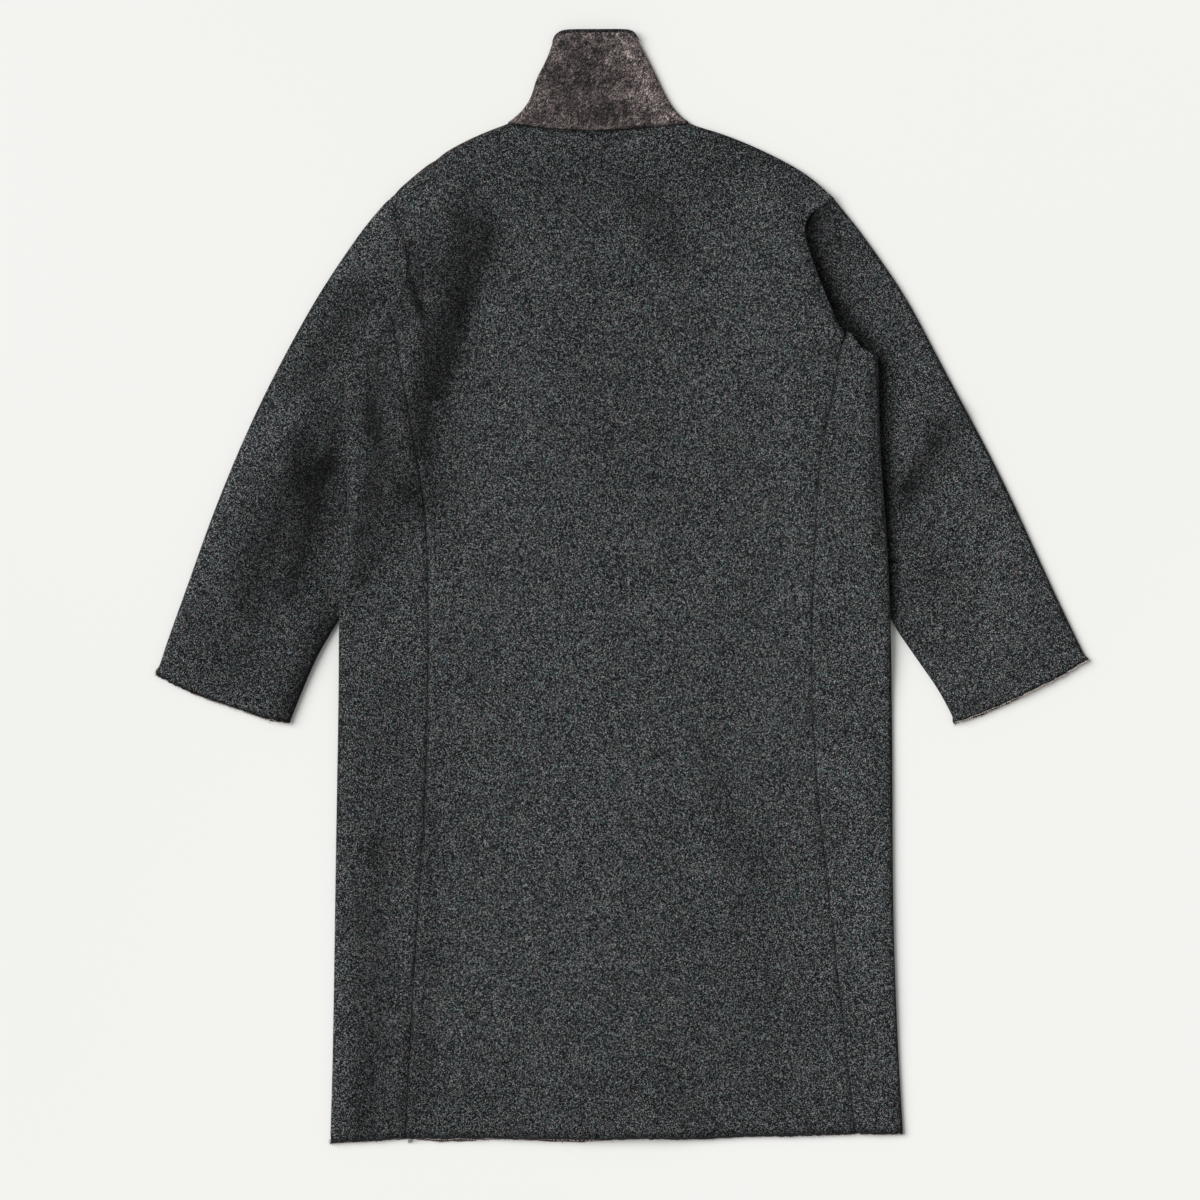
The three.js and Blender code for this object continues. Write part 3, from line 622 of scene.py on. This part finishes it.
def points_of(mesh):
    places = np.empty(len(mesh.vertices) * 3)
    mesh.vertices.foreach_get("co", places)
    return places.reshape(-1, 3) / MM


def set_points(mesh, places):
    mesh.vertices.foreach_set("co", (places * MM).ravel())
    mesh.update()


def values_of(mesh, name):
    values = np.empty(len(mesh.vertices))
    mesh.attributes[name].data.foreach_get("value", values)
    return values


def set_values(mesh, name, values):
    mesh.attributes.new(name, "FLOAT", "POINT").data.foreach_set("value", values)


def put_in_scene(name, data):
    """A new object that holds the data, at the origin."""
    made = bpy.data.objects.new(name, data)
    bpy.context.scene.collection.objects.link(made)
    return made


def sheet_faces(bm):
    """The two sides of a wall of cloth, the one that holds its highest face first."""
    left = set(bm.faces)
    groups = []
    while left:
        group = {left.pop()}
        front = list(group)
        while front:
            face = front.pop()
            for edge in face.edges:
                if edge.calc_face_angle(0) > SHARP_EDGE:
                    continue
                for other in edge.link_faces:
                    if other in left:
                        left.discard(other)
                        group.add(other)
                        front.append(other)
        groups.append(group)
    groups.sort(key=lambda group: sum(face.calc_area() for face in group))
    sides = groups[-2:]
    sides.sort(key=lambda group: -max(face.calc_center_median().z for face in group))
    return sides


def is_raw(face, piece, low):
    """Cut edges that are left unsewn: the hem or cuff, and the coat's centre edges."""
    centre = face.calc_center_median() / MM
    if "hem" in piece["raw"] and "sleeve" not in piece["node"]:
        if centre.y < low + HEM_BAND and abs(face.normal.y) > HEM_SLANT:
            return True
    if "hem" in piece["raw"] and "sleeve" in piece["node"]:
        if centre.y < CUFF_TOP:
            return True
    return "centre" in piece["raw"] and abs(face.normal.x) > HEM_SLANT and abs(centre.x) < CENTRE_REACH


def fine_shell(piece):
    """A copy of a cut piece's solid, marked by side and edge, and made fine."""
    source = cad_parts[piece["node"]]
    mesh = source.data.copy()
    mesh.name = piece["shell"]
    mesh.materials.clear()
    shell = put_in_scene(piece["shell"], mesh)
    bm = bmesh.new()
    bm.from_mesh(mesh)
    bmesh.ops.remove_doubles(bm, verts=bm.verts, dist=SAME_POINT * MM)
    bmesh.ops.join_triangles(
        bm, faces=bm.faces, angle_face_threshold=PAIRED, angle_shape_threshold=math.pi
    )
    top, under = sheet_faces(bm)
    crease = bm.edges.layers.float.new("crease_edge")
    corner = bm.verts.layers.float.new("crease_vert")
    upper_layer = bm.verts.layers.float.new("upper_half")
    side_layer = bm.verts.layers.float.new("tweed_side")
    for edge in bm.edges:
        edge[crease] = EDGE_CREASE if edge.calc_face_angle(0) > SHARP_EDGE else 0.0
    low = min(vert.co.y for vert in bm.verts) / MM
    for vert in bm.verts:
        sharp = sum(edge[crease] > 0 for edge in vert.link_edges)
        vert[corner] = 1.0 if sharp > 2 else 0.0
        on_top = [face.normal.z for face in vert.link_faces if face in top]
        below = [-face.normal.z for face in vert.link_faces if face in under]
        lean = on_top + below
        vert[upper_layer] = 0.5 + 0.5 * sum(lean) / len(lean)
        is_tweed = bool(on_top) == (piece["top_face"] == "tweed")
        vert[side_layer] = 1.0 if is_tweed else 0.0
    top_place, under_place = (TWEED, PILE) if piece["top_face"] == "tweed" else (PILE, TWEED)
    for face in bm.faces:
        face.smooth = True
        if face in top:
            face.material_index = top_place
        elif face in under:
            face.material_index = under_place
        else:
            face.material_index = RAW if is_raw(face, piece, low) else TWEED
    bm.to_mesh(mesh)
    bm.free()
    finer = shell.modifiers.new("finer", "SUBSURF")
    finer.levels = finer.render_levels = piece["levels"]
    bpy.context.view_layer.objects.active = shell
    bpy.ops.object.modifier_apply(modifier=finer.name)
    return shell


def soft_step(values, low, high):
    share = np.clip((values - low) / (high - low), 0, 1)
    return share * share * (3 - 2 * share)


def bell(distance, reach):
    """1 at no distance, which dies away softly over the reach."""
    return np.exp(-((distance / reach) ** 2))


def distance_to_line(places, line):
    """Distance from each place to a line of points, the side it lies on, and how far along."""
    best = np.full(len(places), np.inf)
    side = np.zeros(len(places))
    along = np.zeros(len(places))
    ends = np.array(line, float)
    lengths = np.linalg.norm(np.diff(ends, axis=0), axis=1)
    travelled = np.concatenate([[0], np.cumsum(lengths)])
    for index, length in enumerate(lengths):
        start = ends[index]
        run = (ends[index + 1] - start) / length
        offset = places - start
        forward = np.clip(offset @ run, 0, length)
        gap = offset - forward[:, None] * run
        distance = np.linalg.norm(gap, axis=1)
        nearer = distance < best
        best[nearer] = distance[nearer]
        side[nearer] = np.sign(gap[:, 0] * run[1] - gap[:, 1] * run[0])[nearer]
        along[nearer] = ((travelled[index] + forward) / travelled[-1])[nearer]
    return best, side, along


def fold_heights(places, folds):
    """How much the folds raise the cloth at each place, seen from above."""
    height = np.zeros(len(places))
    for ridge in folds:
        distance, side, along = distance_to_line(places, ridge["line"])
        rise = ridge["rise"] * bell(distance, ridge["reach"])
        height += rise * (soft_step(along, 0, ridge["fade"]) if "fade" in ridge else 1)
        if "step" in ridge:
            ends = soft_step(along, 0, STEP_ENDS) * soft_step(1 - along, 0, STEP_ENDS)
            fading = np.exp(-distance / (STEP_FADE * ridge["run"]))
            drop = side * np.tanh(distance / ridge["run"]) * fading
            height += ridge["step"] * ends * drop
    return height


def undulation(places, seed):
    """Faint long waves, as in any cloth that was laid down by hand."""
    rng = random.Random(seed)
    height = np.zeros(len(places))
    for _ in range(WAVE_COUNT):
        length = rng.uniform(*WAVE_LENGTHS)
        turn = rng.uniform(0, math.pi)
        phase = rng.uniform(0, 2 * math.pi)
        across = places[:, 0] * math.cos(turn) + places[:, 1] * math.sin(turn)
        height += np.sin(across * 2 * math.pi / length + phase)
    return height / WAVE_COUNT


def nearest(places, targets):
    """Distance from each place to the nearest of the targets."""
    tree = kdtree.KDTree(len(targets))
    for index, target in enumerate(targets):
        tree.insert((target[0], target[1], 0.0), index)
    tree.balance()
    return np.array([tree.find((place[0], place[1], 0.0))[2] for place in places])


def rounded_distance(places, rim, spacing):
    """Distance to a rim, rounded off in its corners, so that a swell has no ridges in them."""
    cells = {}
    for point in rim:
        cells.setdefault((point[0] // spacing, point[1] // spacing), []).append(point[:2])
    marks = np.array([np.mean(points, axis=0) for points in cells.values()])
    apart = np.linalg.norm(marks[:, None] - marks[None], axis=2)
    reach = 3 * spacing
    stretch = 2 * reach / (apart < reach).sum(axis=1)
    total = np.zeros(len(places))
    for start in range(0, len(places), CHUNK):
        offset = places[start:start + CHUNK, None, :2] - marks[None]
        square = np.maximum((offset ** 2).sum(axis=2), 0.01)
        total[start:start + CHUNK] = (stretch / square ** 2).sum(axis=1)
    return (2 * total / math.pi) ** (-1 / 3)


def upper_vertices(mesh, faces):
    """Numbers of the faces' vertices that lie on the upper side of a shell's mesh."""
    found = {index for face in faces for index in face.vertices}
    upper = values_of(mesh, "upper_half")
    return [index for index in sorted(found) if upper[index] > UPPER_SHARE]


def rim_vertices(shell):
    """Numbers of the upper vertices on a shell's cut and folded edges."""
    steep = [face for face in shell.data.polygons if abs(face.normal.z) < 0.5]
    return upper_vertices(shell.data, steep)


def free_edges(shells):
    """Places on the shells' cut and folded edges that aren't sewn to one of the others."""
    rims = {shell.name: points_of(shell.data)[rim_vertices(shell)] for shell in shells}
    free = []
    for name, places in rims.items():
        others = np.concatenate([rims[other] for other in rims if other != name])
        free.append(places[nearest(places, others) > SAME_SEAM])
    return np.concatenate(free)


def seam_places(one, other):
    """Places on one shell's cut edge that are sewn to the other's."""
    mine = points_of(one.data)[rim_vertices(one)]
    theirs = points_of(other.data)[rim_vertices(other)]
    return mine[nearest(mine, theirs) < SAME_SEAM]


def raise_upper_half(shell, height):
    places = points_of(shell.data)
    height = np.maximum(height, -DEEPEST)
    places[:, 2] += height * values_of(shell.data, "upper_half")
    set_points(shell.data, places)


def lay_body(shells):
    """The back and the two side panels, which share their folds across the seams."""
    body = back, left, right = [shells[name] for name in BODY_CLOTHS]
    edges = free_edges(body)
    seams = np.concatenate([seam_places(back, left), seam_places(back, right)])
    for shell in body:
        places = points_of(shell.data)
        swell = soft_step(rounded_distance(places, edges, RIM_SPACING), 0, LOFT_RUN)
        height = swell * (LOFT + WAVES * undulation(places, BODY_SEED))
        height += fold_heights(places[:, :2], BODY_FOLDS)
        to_seam = nearest(places, seams)
        height -= PINCH * bell(to_seam, PINCH_REACH)
        height += WELT * bell(to_seam - WELT_PLACE, WELT_REACH)
        raise_upper_half(shell, height)
    return edges, seams


def lay_sleeve(shell, body):
    """The sleeve swells only where the body doesn't lie on it."""
    places = points_of(shell.data)
    cover = [BVHTree.FromObject(piece, bpy.context.evaluated_depsgraph_get()) for piece in body]
    up = Vector((0, 0, 1))
    covered = []
    for index, place in enumerate(places):
        start = Vector(place) * MM
        if any(tree.ray_cast(start, up)[0] is not None for tree in cover):
            covered.append(index)
    edges = np.concatenate([places[covered], places[rim_vertices(shell)]])
    swell = soft_step(nearest(places, edges), 0, SLEEVE_LOFT_RUN)
    height = swell * (SLEEVE_LOFT + SLEEVE_WAVES * undulation(places, SLEEVE_SEED))
    clear = soft_step(nearest(places, places[covered]), 0, SLEEVE_CLEAR)
    under = nearest(places, np.delete(places, covered, axis=0))
    for ridge in SLEEVE_FOLDS:
        share = 1 - soft_step(under, 0, ridge["sewn"]) if "sewn" in ridge else clear
        height += share * fold_heights(places[:, :2], [ridge])
    raise_upper_half(shell, height)


def lay_collar(shell):
    places = points_of(shell.data)
    rim = places[rim_vertices(shell)]
    swell = soft_step(rounded_distance(places, rim, COLLAR_RIM_SPACING), 0, COLLAR_LOFT_RUN)
    height = swell * (COLLAR_LOFT + fold_heights(places[:, :2], COLLAR_FOLDS))
    raise_upper_half(shell, height)


def raw_places(shell):
    """Upper places on the raw edges of a shell."""
    raw = [face for face in shell.data.polygons if face.material_index == RAW]
    return points_of(shell.data)[upper_vertices(shell.data, raw)]


def paint_shading(shell, marks, folds, seams):
    """How much shade is painted at each point of a shell, from -1, painted light, to 1, painted shade.
    """
    places = points_of(shell.data)
    painted_light_and_shade = np.zeros(len(places))
    for mark in marks:
        distance, _, _ = distance_to_line(places[:, :2], mark["line"])
        painted_light_and_shade += mark["dark"] * bell(distance, mark["reach"])
    # painted shade along cut edges, folded edges and seams
    for nap, edge in ((CUT_EDGE_PAINTED_SHADE, raw_places(shell)), (FOLD_EDGE_PAINTED_SHADE, folds), (SEAM_PAINTED_SHADE, seams)):
        if len(edge):
            painted_light_and_shade += nap["dark"] * bell(nearest(places, edge), nap["reach"])
    set_values(shell.data, "nap", np.clip(painted_light_and_shade, -1, DARKEST_PAINTED_SHADE))


def draw_out(shell):
    """The second layer's edge stands out past the first one, and single places are pulled."""
    places = points_of(shell.data)
    lower = 1 - values_of(shell.data, "upper_half")
    if shell.name.startswith("front"):
        lower = np.ones(len(places))
    for peek in PEEKS:
        if peek["cloth"] != shell.name:
            continue
        line = [peek["from"], peek["to"]]
        distance, _, along = distance_to_line(places[:, :2], line)
        run = math.dist(*line)
        ends = soft_step(along * run, 0, PEEK_FADE) * soft_step((1 - along) * run, 0, PEEK_FADE)
        share = lower * ends * (1 - soft_step(distance, PEEK_FROM, PEEK_DEPTH))
        places[:, :2] += share[:, None] * np.array(peek["by"])
    for cloths, at, reach, by in PULLS:
        if shell.name in cloths:
            gap = np.linalg.norm(places[:, :2] - np.array(at), axis=1)
            places[:, :2] += bell(gap, reach)[:, None] * np.array(by)
    set_points(shell.data, places)


def cut_edge(shell):
    """The raw edges slope and wander."""
    mesh = shell.data
    places = points_of(mesh)
    outward = np.zeros((len(places), 2))
    for face in mesh.polygons:
        if face.material_index == RAW:
            outward[list(face.vertices)] += (face.normal.x, face.normal.y)
    away = CUT_SLOPE * (1 - values_of(mesh, "tweed_side")) - CUT_BACK
    for index in np.flatnonzero(outward.any(axis=1)):
        way = outward[index] / np.linalg.norm(outward[index])
        for wander in CUT_WANDER:
            spot = Vector(places[index]) / wander["length"]
            away[index] += wander["amount"] * noise.noise(spot)
        places[index, :2] += way * away[index]
    set_points(mesh, places)


def rounded_line(line, step):
    """A soft curve through a line's points, in even steps."""
    ends = np.array(line, float)
    padded = np.concatenate([[2 * ends[0] - ends[1]], ends, [2 * ends[-1] - ends[-2]]])
    curve = []
    for index in range(len(ends) - 1):
        before, start, end, after = padded[index:index + 4]
        count = max(2, round(float(np.linalg.norm(end - start)) / step))
        for share in np.arange(count) / count:
            bend = 2 * start + (end - before) * share
            bend = bend + (2 * before - 5 * start + 4 * end - after) * share ** 2
            bend = bend + (3 * start - before - 3 * end + after) * share ** 3
            curve.append(bend / 2)
    curve.append(ends[-1])
    return curve


def mesh_piece(name, vertices, faces, material):
    """A new piece from places in millimetres."""
    mesh = bpy.data.meshes.new(name)
    mesh.from_pydata([tuple(np.array(vertex) * MM) for vertex in vertices], [], faces)
    mesh.materials.append(material)
    return put_in_scene(name, mesh)


def turned_ridge(plan, shells, finish):
    """Turned cloth that stands up along a line, higher than the sheet it lies on."""
    cloth = shells[plan["cloth"]]
    tree = BVHTree.FromObject(cloth, bpy.context.evaluated_depsgraph_get())
    curve = rounded_line(plan["line"], RIDGE_STEP)
    down = Vector((0, 0, -1))
    hits = [tree.ray_cast(Vector((*centre, ABOVE)) * MM, down)[0] for centre in curve]
    level = next(hit.z for hit in hits if hit is not None) / MM
    vertices = []
    for index, centre in enumerate(curve):
        ahead = curve[min(index + 1, len(curve) - 1)] - curve[max(index - 1, 0)]
        across = np.array([-ahead[1], ahead[0]]) / np.linalg.norm(ahead)
        level = hits[index].z / MM if hits[index] is not None else level
        from_end = min(index, len(curve) - 1 - index)
        size = min(1.0, RIDGE_TIP + RIDGE_GROWTH * from_end)
        for side in range(RIDGE_SIDES):
            turn = 2 * math.pi * side / RIDGE_SIDES
            place = centre + across * math.cos(turn) * plan["width"] / 2 * size
            proud = math.sin(turn) * (1 - RIDGE_SINK) - RIDGE_SINK
            height = level + proud * plan["rise"] * size
            vertices.append((place[0], place[1], height))
    faces = []
    for ring in range(len(curve) - 1):
        low = ring * RIDGE_SIDES
        high = low + RIDGE_SIDES
        for side in range(RIDGE_SIDES):
            following = (side + 1) % RIDGE_SIDES
            faces.append((low + side, high + side, high + following, low + following))
    faces.append(tuple(range(RIDGE_SIDES)))
    faces.append(tuple(reversed(range(high, high + RIDGE_SIDES))))
    ridge = mesh_piece(plan["piece"], vertices, faces, finish)
    # painted shade over the whole ridge, by its dark value
    set_values(ridge.data, "nap", [plan["dark"]] * len(vertices))
    bm = bmesh.new()
    bm.from_mesh(ridge.data)
    bmesh.ops.recalc_face_normals(bm, faces=bm.faces)
    for face in bm.faces:
        face.smooth = True
    bm.to_mesh(ridge.data)
    bm.free()
    return ridge


# ---------- loose fibres


def combing(shell, faces):
    """How much more of the pale core stands out of each edge face."""
    centres = np.array([face.center[:2] for face in faces]) / MM
    more = np.ones(len(faces))
    for reach, times, *line in COMBED.get(shell.name, []):
        distance, _, _ = distance_to_line(centres, line)
        more += times * bell(distance, reach)
    return more


class Fringe:
    """Loose fibres, gathered into one mesh."""

    RINGS = 2
    SIDES = 3

    def __init__(self, seed):
        self.rng = random.Random(seed)
        self.vertices = []
        self.faces = []
        self.tones = []

    def add(self, root, way, length, thickness, shade):
        """One fibre: a thin three-sided taper that bends on its way out."""
        way = Vector(way).normalized()
        bend = Vector([self.rng.gauss(0, 1) for _ in range(3)])
        bend = (bend - way * bend.dot(way)) * FIBRE_BEND * length
        first = way.orthogonal().normalized()
        second = way.cross(first)
        start = len(self.vertices)
        for ring in range(self.RINGS):
            share = ring / self.RINGS
            centre = Vector(root) + way * length * share + bend * share * share
            radius = thickness * (1 - FIBRE_TAPER * share) / 2
            for side in range(self.SIDES):
                turn = 2 * math.pi * side / self.SIDES
                place = centre + (first * math.cos(turn) + second * math.sin(turn)) * radius
                self.vertices.append((place.x, place.y, max(place.z, FLOOR_CLEAR)))
        tip = Vector(root) + way * length + bend
        self.vertices.append((tip.x, tip.y, max(tip.z, FLOOR_CLEAR)))
        for ring in range(self.RINGS - 1):
            for side in range(self.SIDES):
                following = (side + 1) % self.SIDES
                low = start + ring * self.SIDES
                high = low + self.SIDES
                self.faces.append((low + side, low + following, high + following, high + side))
        top = start + (self.RINGS - 1) * self.SIDES
        end = start + self.RINGS * self.SIDES
        for side in range(self.SIDES):
            self.faces.append((top + side, top + (side + 1) % self.SIDES, end))
        self.faces.append(tuple(start + side for side in reversed(range(self.SIDES))))
        self.tones += [shade] * (self.RINGS * self.SIDES + 1)

    def fray_edge(self, shell):
        """Fibres all along a shell's raw edges, of each layer's own colour."""
        mesh = shell.data
        sides = values_of(mesh, "tweed_side")
        places = points_of(mesh)
        counts = {layer: count / (100 * CLOTH / 3) for layer, count in FRAY_COUNT.items()}
        edge_faces = [
            face for face in mesh.polygons
            if face.material_index == RAW and abs(face.normal.x) < HEM_SLANT
        ]
        combed = combing(shell, edge_faces)
        for face, more in zip(edge_faces, combed):
            corners = list(face.vertices)
            side = sides[corners].mean()
            layer = "tweed" if side > TWEED_SHARE else ("core" if side > CORE_SHARE else "pile")
            expected = counts[layer] * face.area / (MM * MM)
            if layer == "core":
                expected *= more
            for _ in range(int(expected + self.rng.random())):
                weights = np.array([self.rng.random() for _ in corners])
                root = (places[corners] * weights[:, None]).sum(axis=0) / weights.sum()
                if layer == "core" and more > COMBED_FROM:
                    root[2] += COMBED_RISE * self.rng.random()
                lift = CORE_LIFT if layer == "core" else 0.0
                drift = [self.rng.gauss(0, spread) for spread in FIBRE_SPREAD]
                drift[2] += lift
                way = Vector(face.normal) + Vector(drift)
                length = self.rng.uniform(*FRAY["lengths"])
                if self.rng.random() < FRAY["long_share"]:
                    length = self.rng.uniform(FRAY["lengths"][1], FRAY["long"])
                thickness = FRAY["thickness"] * self.rng.uniform(*FRAY["uneven"])
                shade = self.rng.uniform(*FIBRE_TONES[layer])
                root = root - np.array(face.normal) * FIBRE_ROOT
                self.add(root, way, length, thickness, shade)

    def tuft(self, at, toward, level):
        """Thick dark fibres that stand out at one place."""
        for _ in range(TUFT["count"]):
            x, y = (value + self.rng.gauss(0, TUFT["spread"]) for value in at)
            way = [value + self.rng.gauss(0, TUFT["turn"]) for value in toward]
            way.append(self.rng.gauss(0, TUFT["lift"]))
            length = TUFT["length"] * self.rng.uniform(0.4, 1)
            thickness = FRAY["thickness"] * self.rng.uniform(*TUFT["thickness"])
            height = self.rng.uniform(TUFT["lowest"], level)
            self.add((x, y, height), way, length, thickness, self.rng.uniform(*TUFT["tones"]))

    def piece(self, name, finish):
        made = mesh_piece(name, self.vertices, self.faces, finish)
        set_values(made.data, "fibre_tone", self.tones)
        return made


# tufts: where the felled edge was snipped and comes apart, and which way its fibres point.
# level: the height of the edge's upper side there.
FRINGES = [
    {"piece": "hem_fibres", "seed": 21, "level": 4.6,
     "cloths": [*BODY_CLOTHS, "front_cloth_left", "front_cloth_right"],
     "tufts": [((-315, -603), (-0.7, -0.6)), ((-230, -602), (0.1, -1.0))]},
    {"piece": "cuff_fibres_left", "seed": 22, "level": 5, "cloths": LEFT_SLEEVE,
     "tufts": [((-504, -95), (-0.85, -0.35))]},
    {"piece": "cuff_fibres_right", "seed": 23, "level": 5, "cloths": RIGHT_SLEEVE,
     "tufts": [((504, -80), (0.95, -0.1)), ((363, -148), (-0.8, -0.5))]},
]


def make_fringe(plan, shells, finish):
    fringe = Fringe(plan["seed"])
    for name in plan["cloths"]:
        fringe.fray_edge(shells[name])
    for at, toward in plan["tufts"]:
        fringe.tuft(at, toward, plan["level"])
    return fringe.piece(plan["piece"], finish)


# ---------- studio

VIEW_CENTRE = (-23.5, -15.2)
VIEW_WIDTH = 1304.4
LENS = 135
SENSOR = 36
SUN_FROM = Vector((-0.8, 0.3, 0.76))
SUN_SPREAD = math.radians(48)
SUN_POWER = 3.2
SKY_POWER = 0.34
SKY_COLOUR = (1, 1, 0.985, 1)
FLOOR_SIDE = 9.0  # metres
FLOOR_DROP = 0.1


def make_studio():
    camera_data = bpy.data.cameras.new("camera")
    camera_data.lens = LENS
    camera_data.sensor_width = SENSOR
    camera = put_in_scene("camera", camera_data)
    height = VIEW_WIDTH * LENS / SENSOR
    camera.location = Vector((*VIEW_CENTRE, height)) * MM
    bpy.context.scene.camera = camera

    sun_data = bpy.data.lights.new("window_light", "SUN")
    sun_data.energy = SUN_POWER
    sun_data.angle = SUN_SPREAD
    sun = put_in_scene("window_light", sun_data)
    sun.rotation_mode = "QUATERNION"
    sun.rotation_quaternion = SUN_FROM.to_track_quat("Z", "Y")

    world = bpy.data.worlds.new("soft_room_light")
    world.use_nodes = True
    sky = world.node_tree.nodes["Background"]
    sky.inputs["Color"].default_value = SKY_COLOUR
    sky.inputs["Strength"].default_value = SKY_POWER
    bpy.context.scene.world = world
    bpy.context.scene.view_settings.view_transform = "Standard"

    bpy.ops.object.select_all(action="DESELECT")
    bpy.ops.mesh.primitive_plane_add(size=FLOOR_SIDE, location=(0, 0, -FLOOR_DROP * MM))
    floor = bpy.context.object
    floor.name = "floor"
    floor.data.materials.append(floor_finish())


# ---------- the coat


def make_coat():
    finishes = [tweed_finish(), pile_finish(), raw_finish()]
    shells = {}
    for piece in PIECES:
        shell = fine_shell(piece)
        for finish in finishes:
            shell.data.materials.append(finish)
        shells[piece["shell"]] = shell
    body = [shells[name] for name in BODY_CLOTHS]
    for name in ("sleeve_cloth_left", "sleeve_cloth_right"):
        lay_sleeve(shells[name], body)
    edges, seams = lay_body(shells)
    lay_collar(shells["collar_cloth"])
    for piece in PIECES:
        shell = shells[piece["shell"]]
        folds = edges if shell in body else points_of(shell.data)[rim_vertices(shell)]
        # painted shade and painted light on each piece
        paint_shading(shell, PAINTED_SHADING[piece["nap"]], folds, seams if shell in body else [])
        draw_out(shell)
        cut_edge(shell)
    extras = [turned_ridge(plan, shells, finishes[TWEED]) for plan in RIDGES]
    fibres = fibre_finish()
    extras += [make_fringe(plan, shells, fibres) for plan in FRINGES]
    for extra in extras:
        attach(extra, BODY)
    for piece in PIECES:
        shell = shells[piece["shell"]]
        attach(shell, BODY)
        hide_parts(piece["node"])


make_studio()
make_coat()
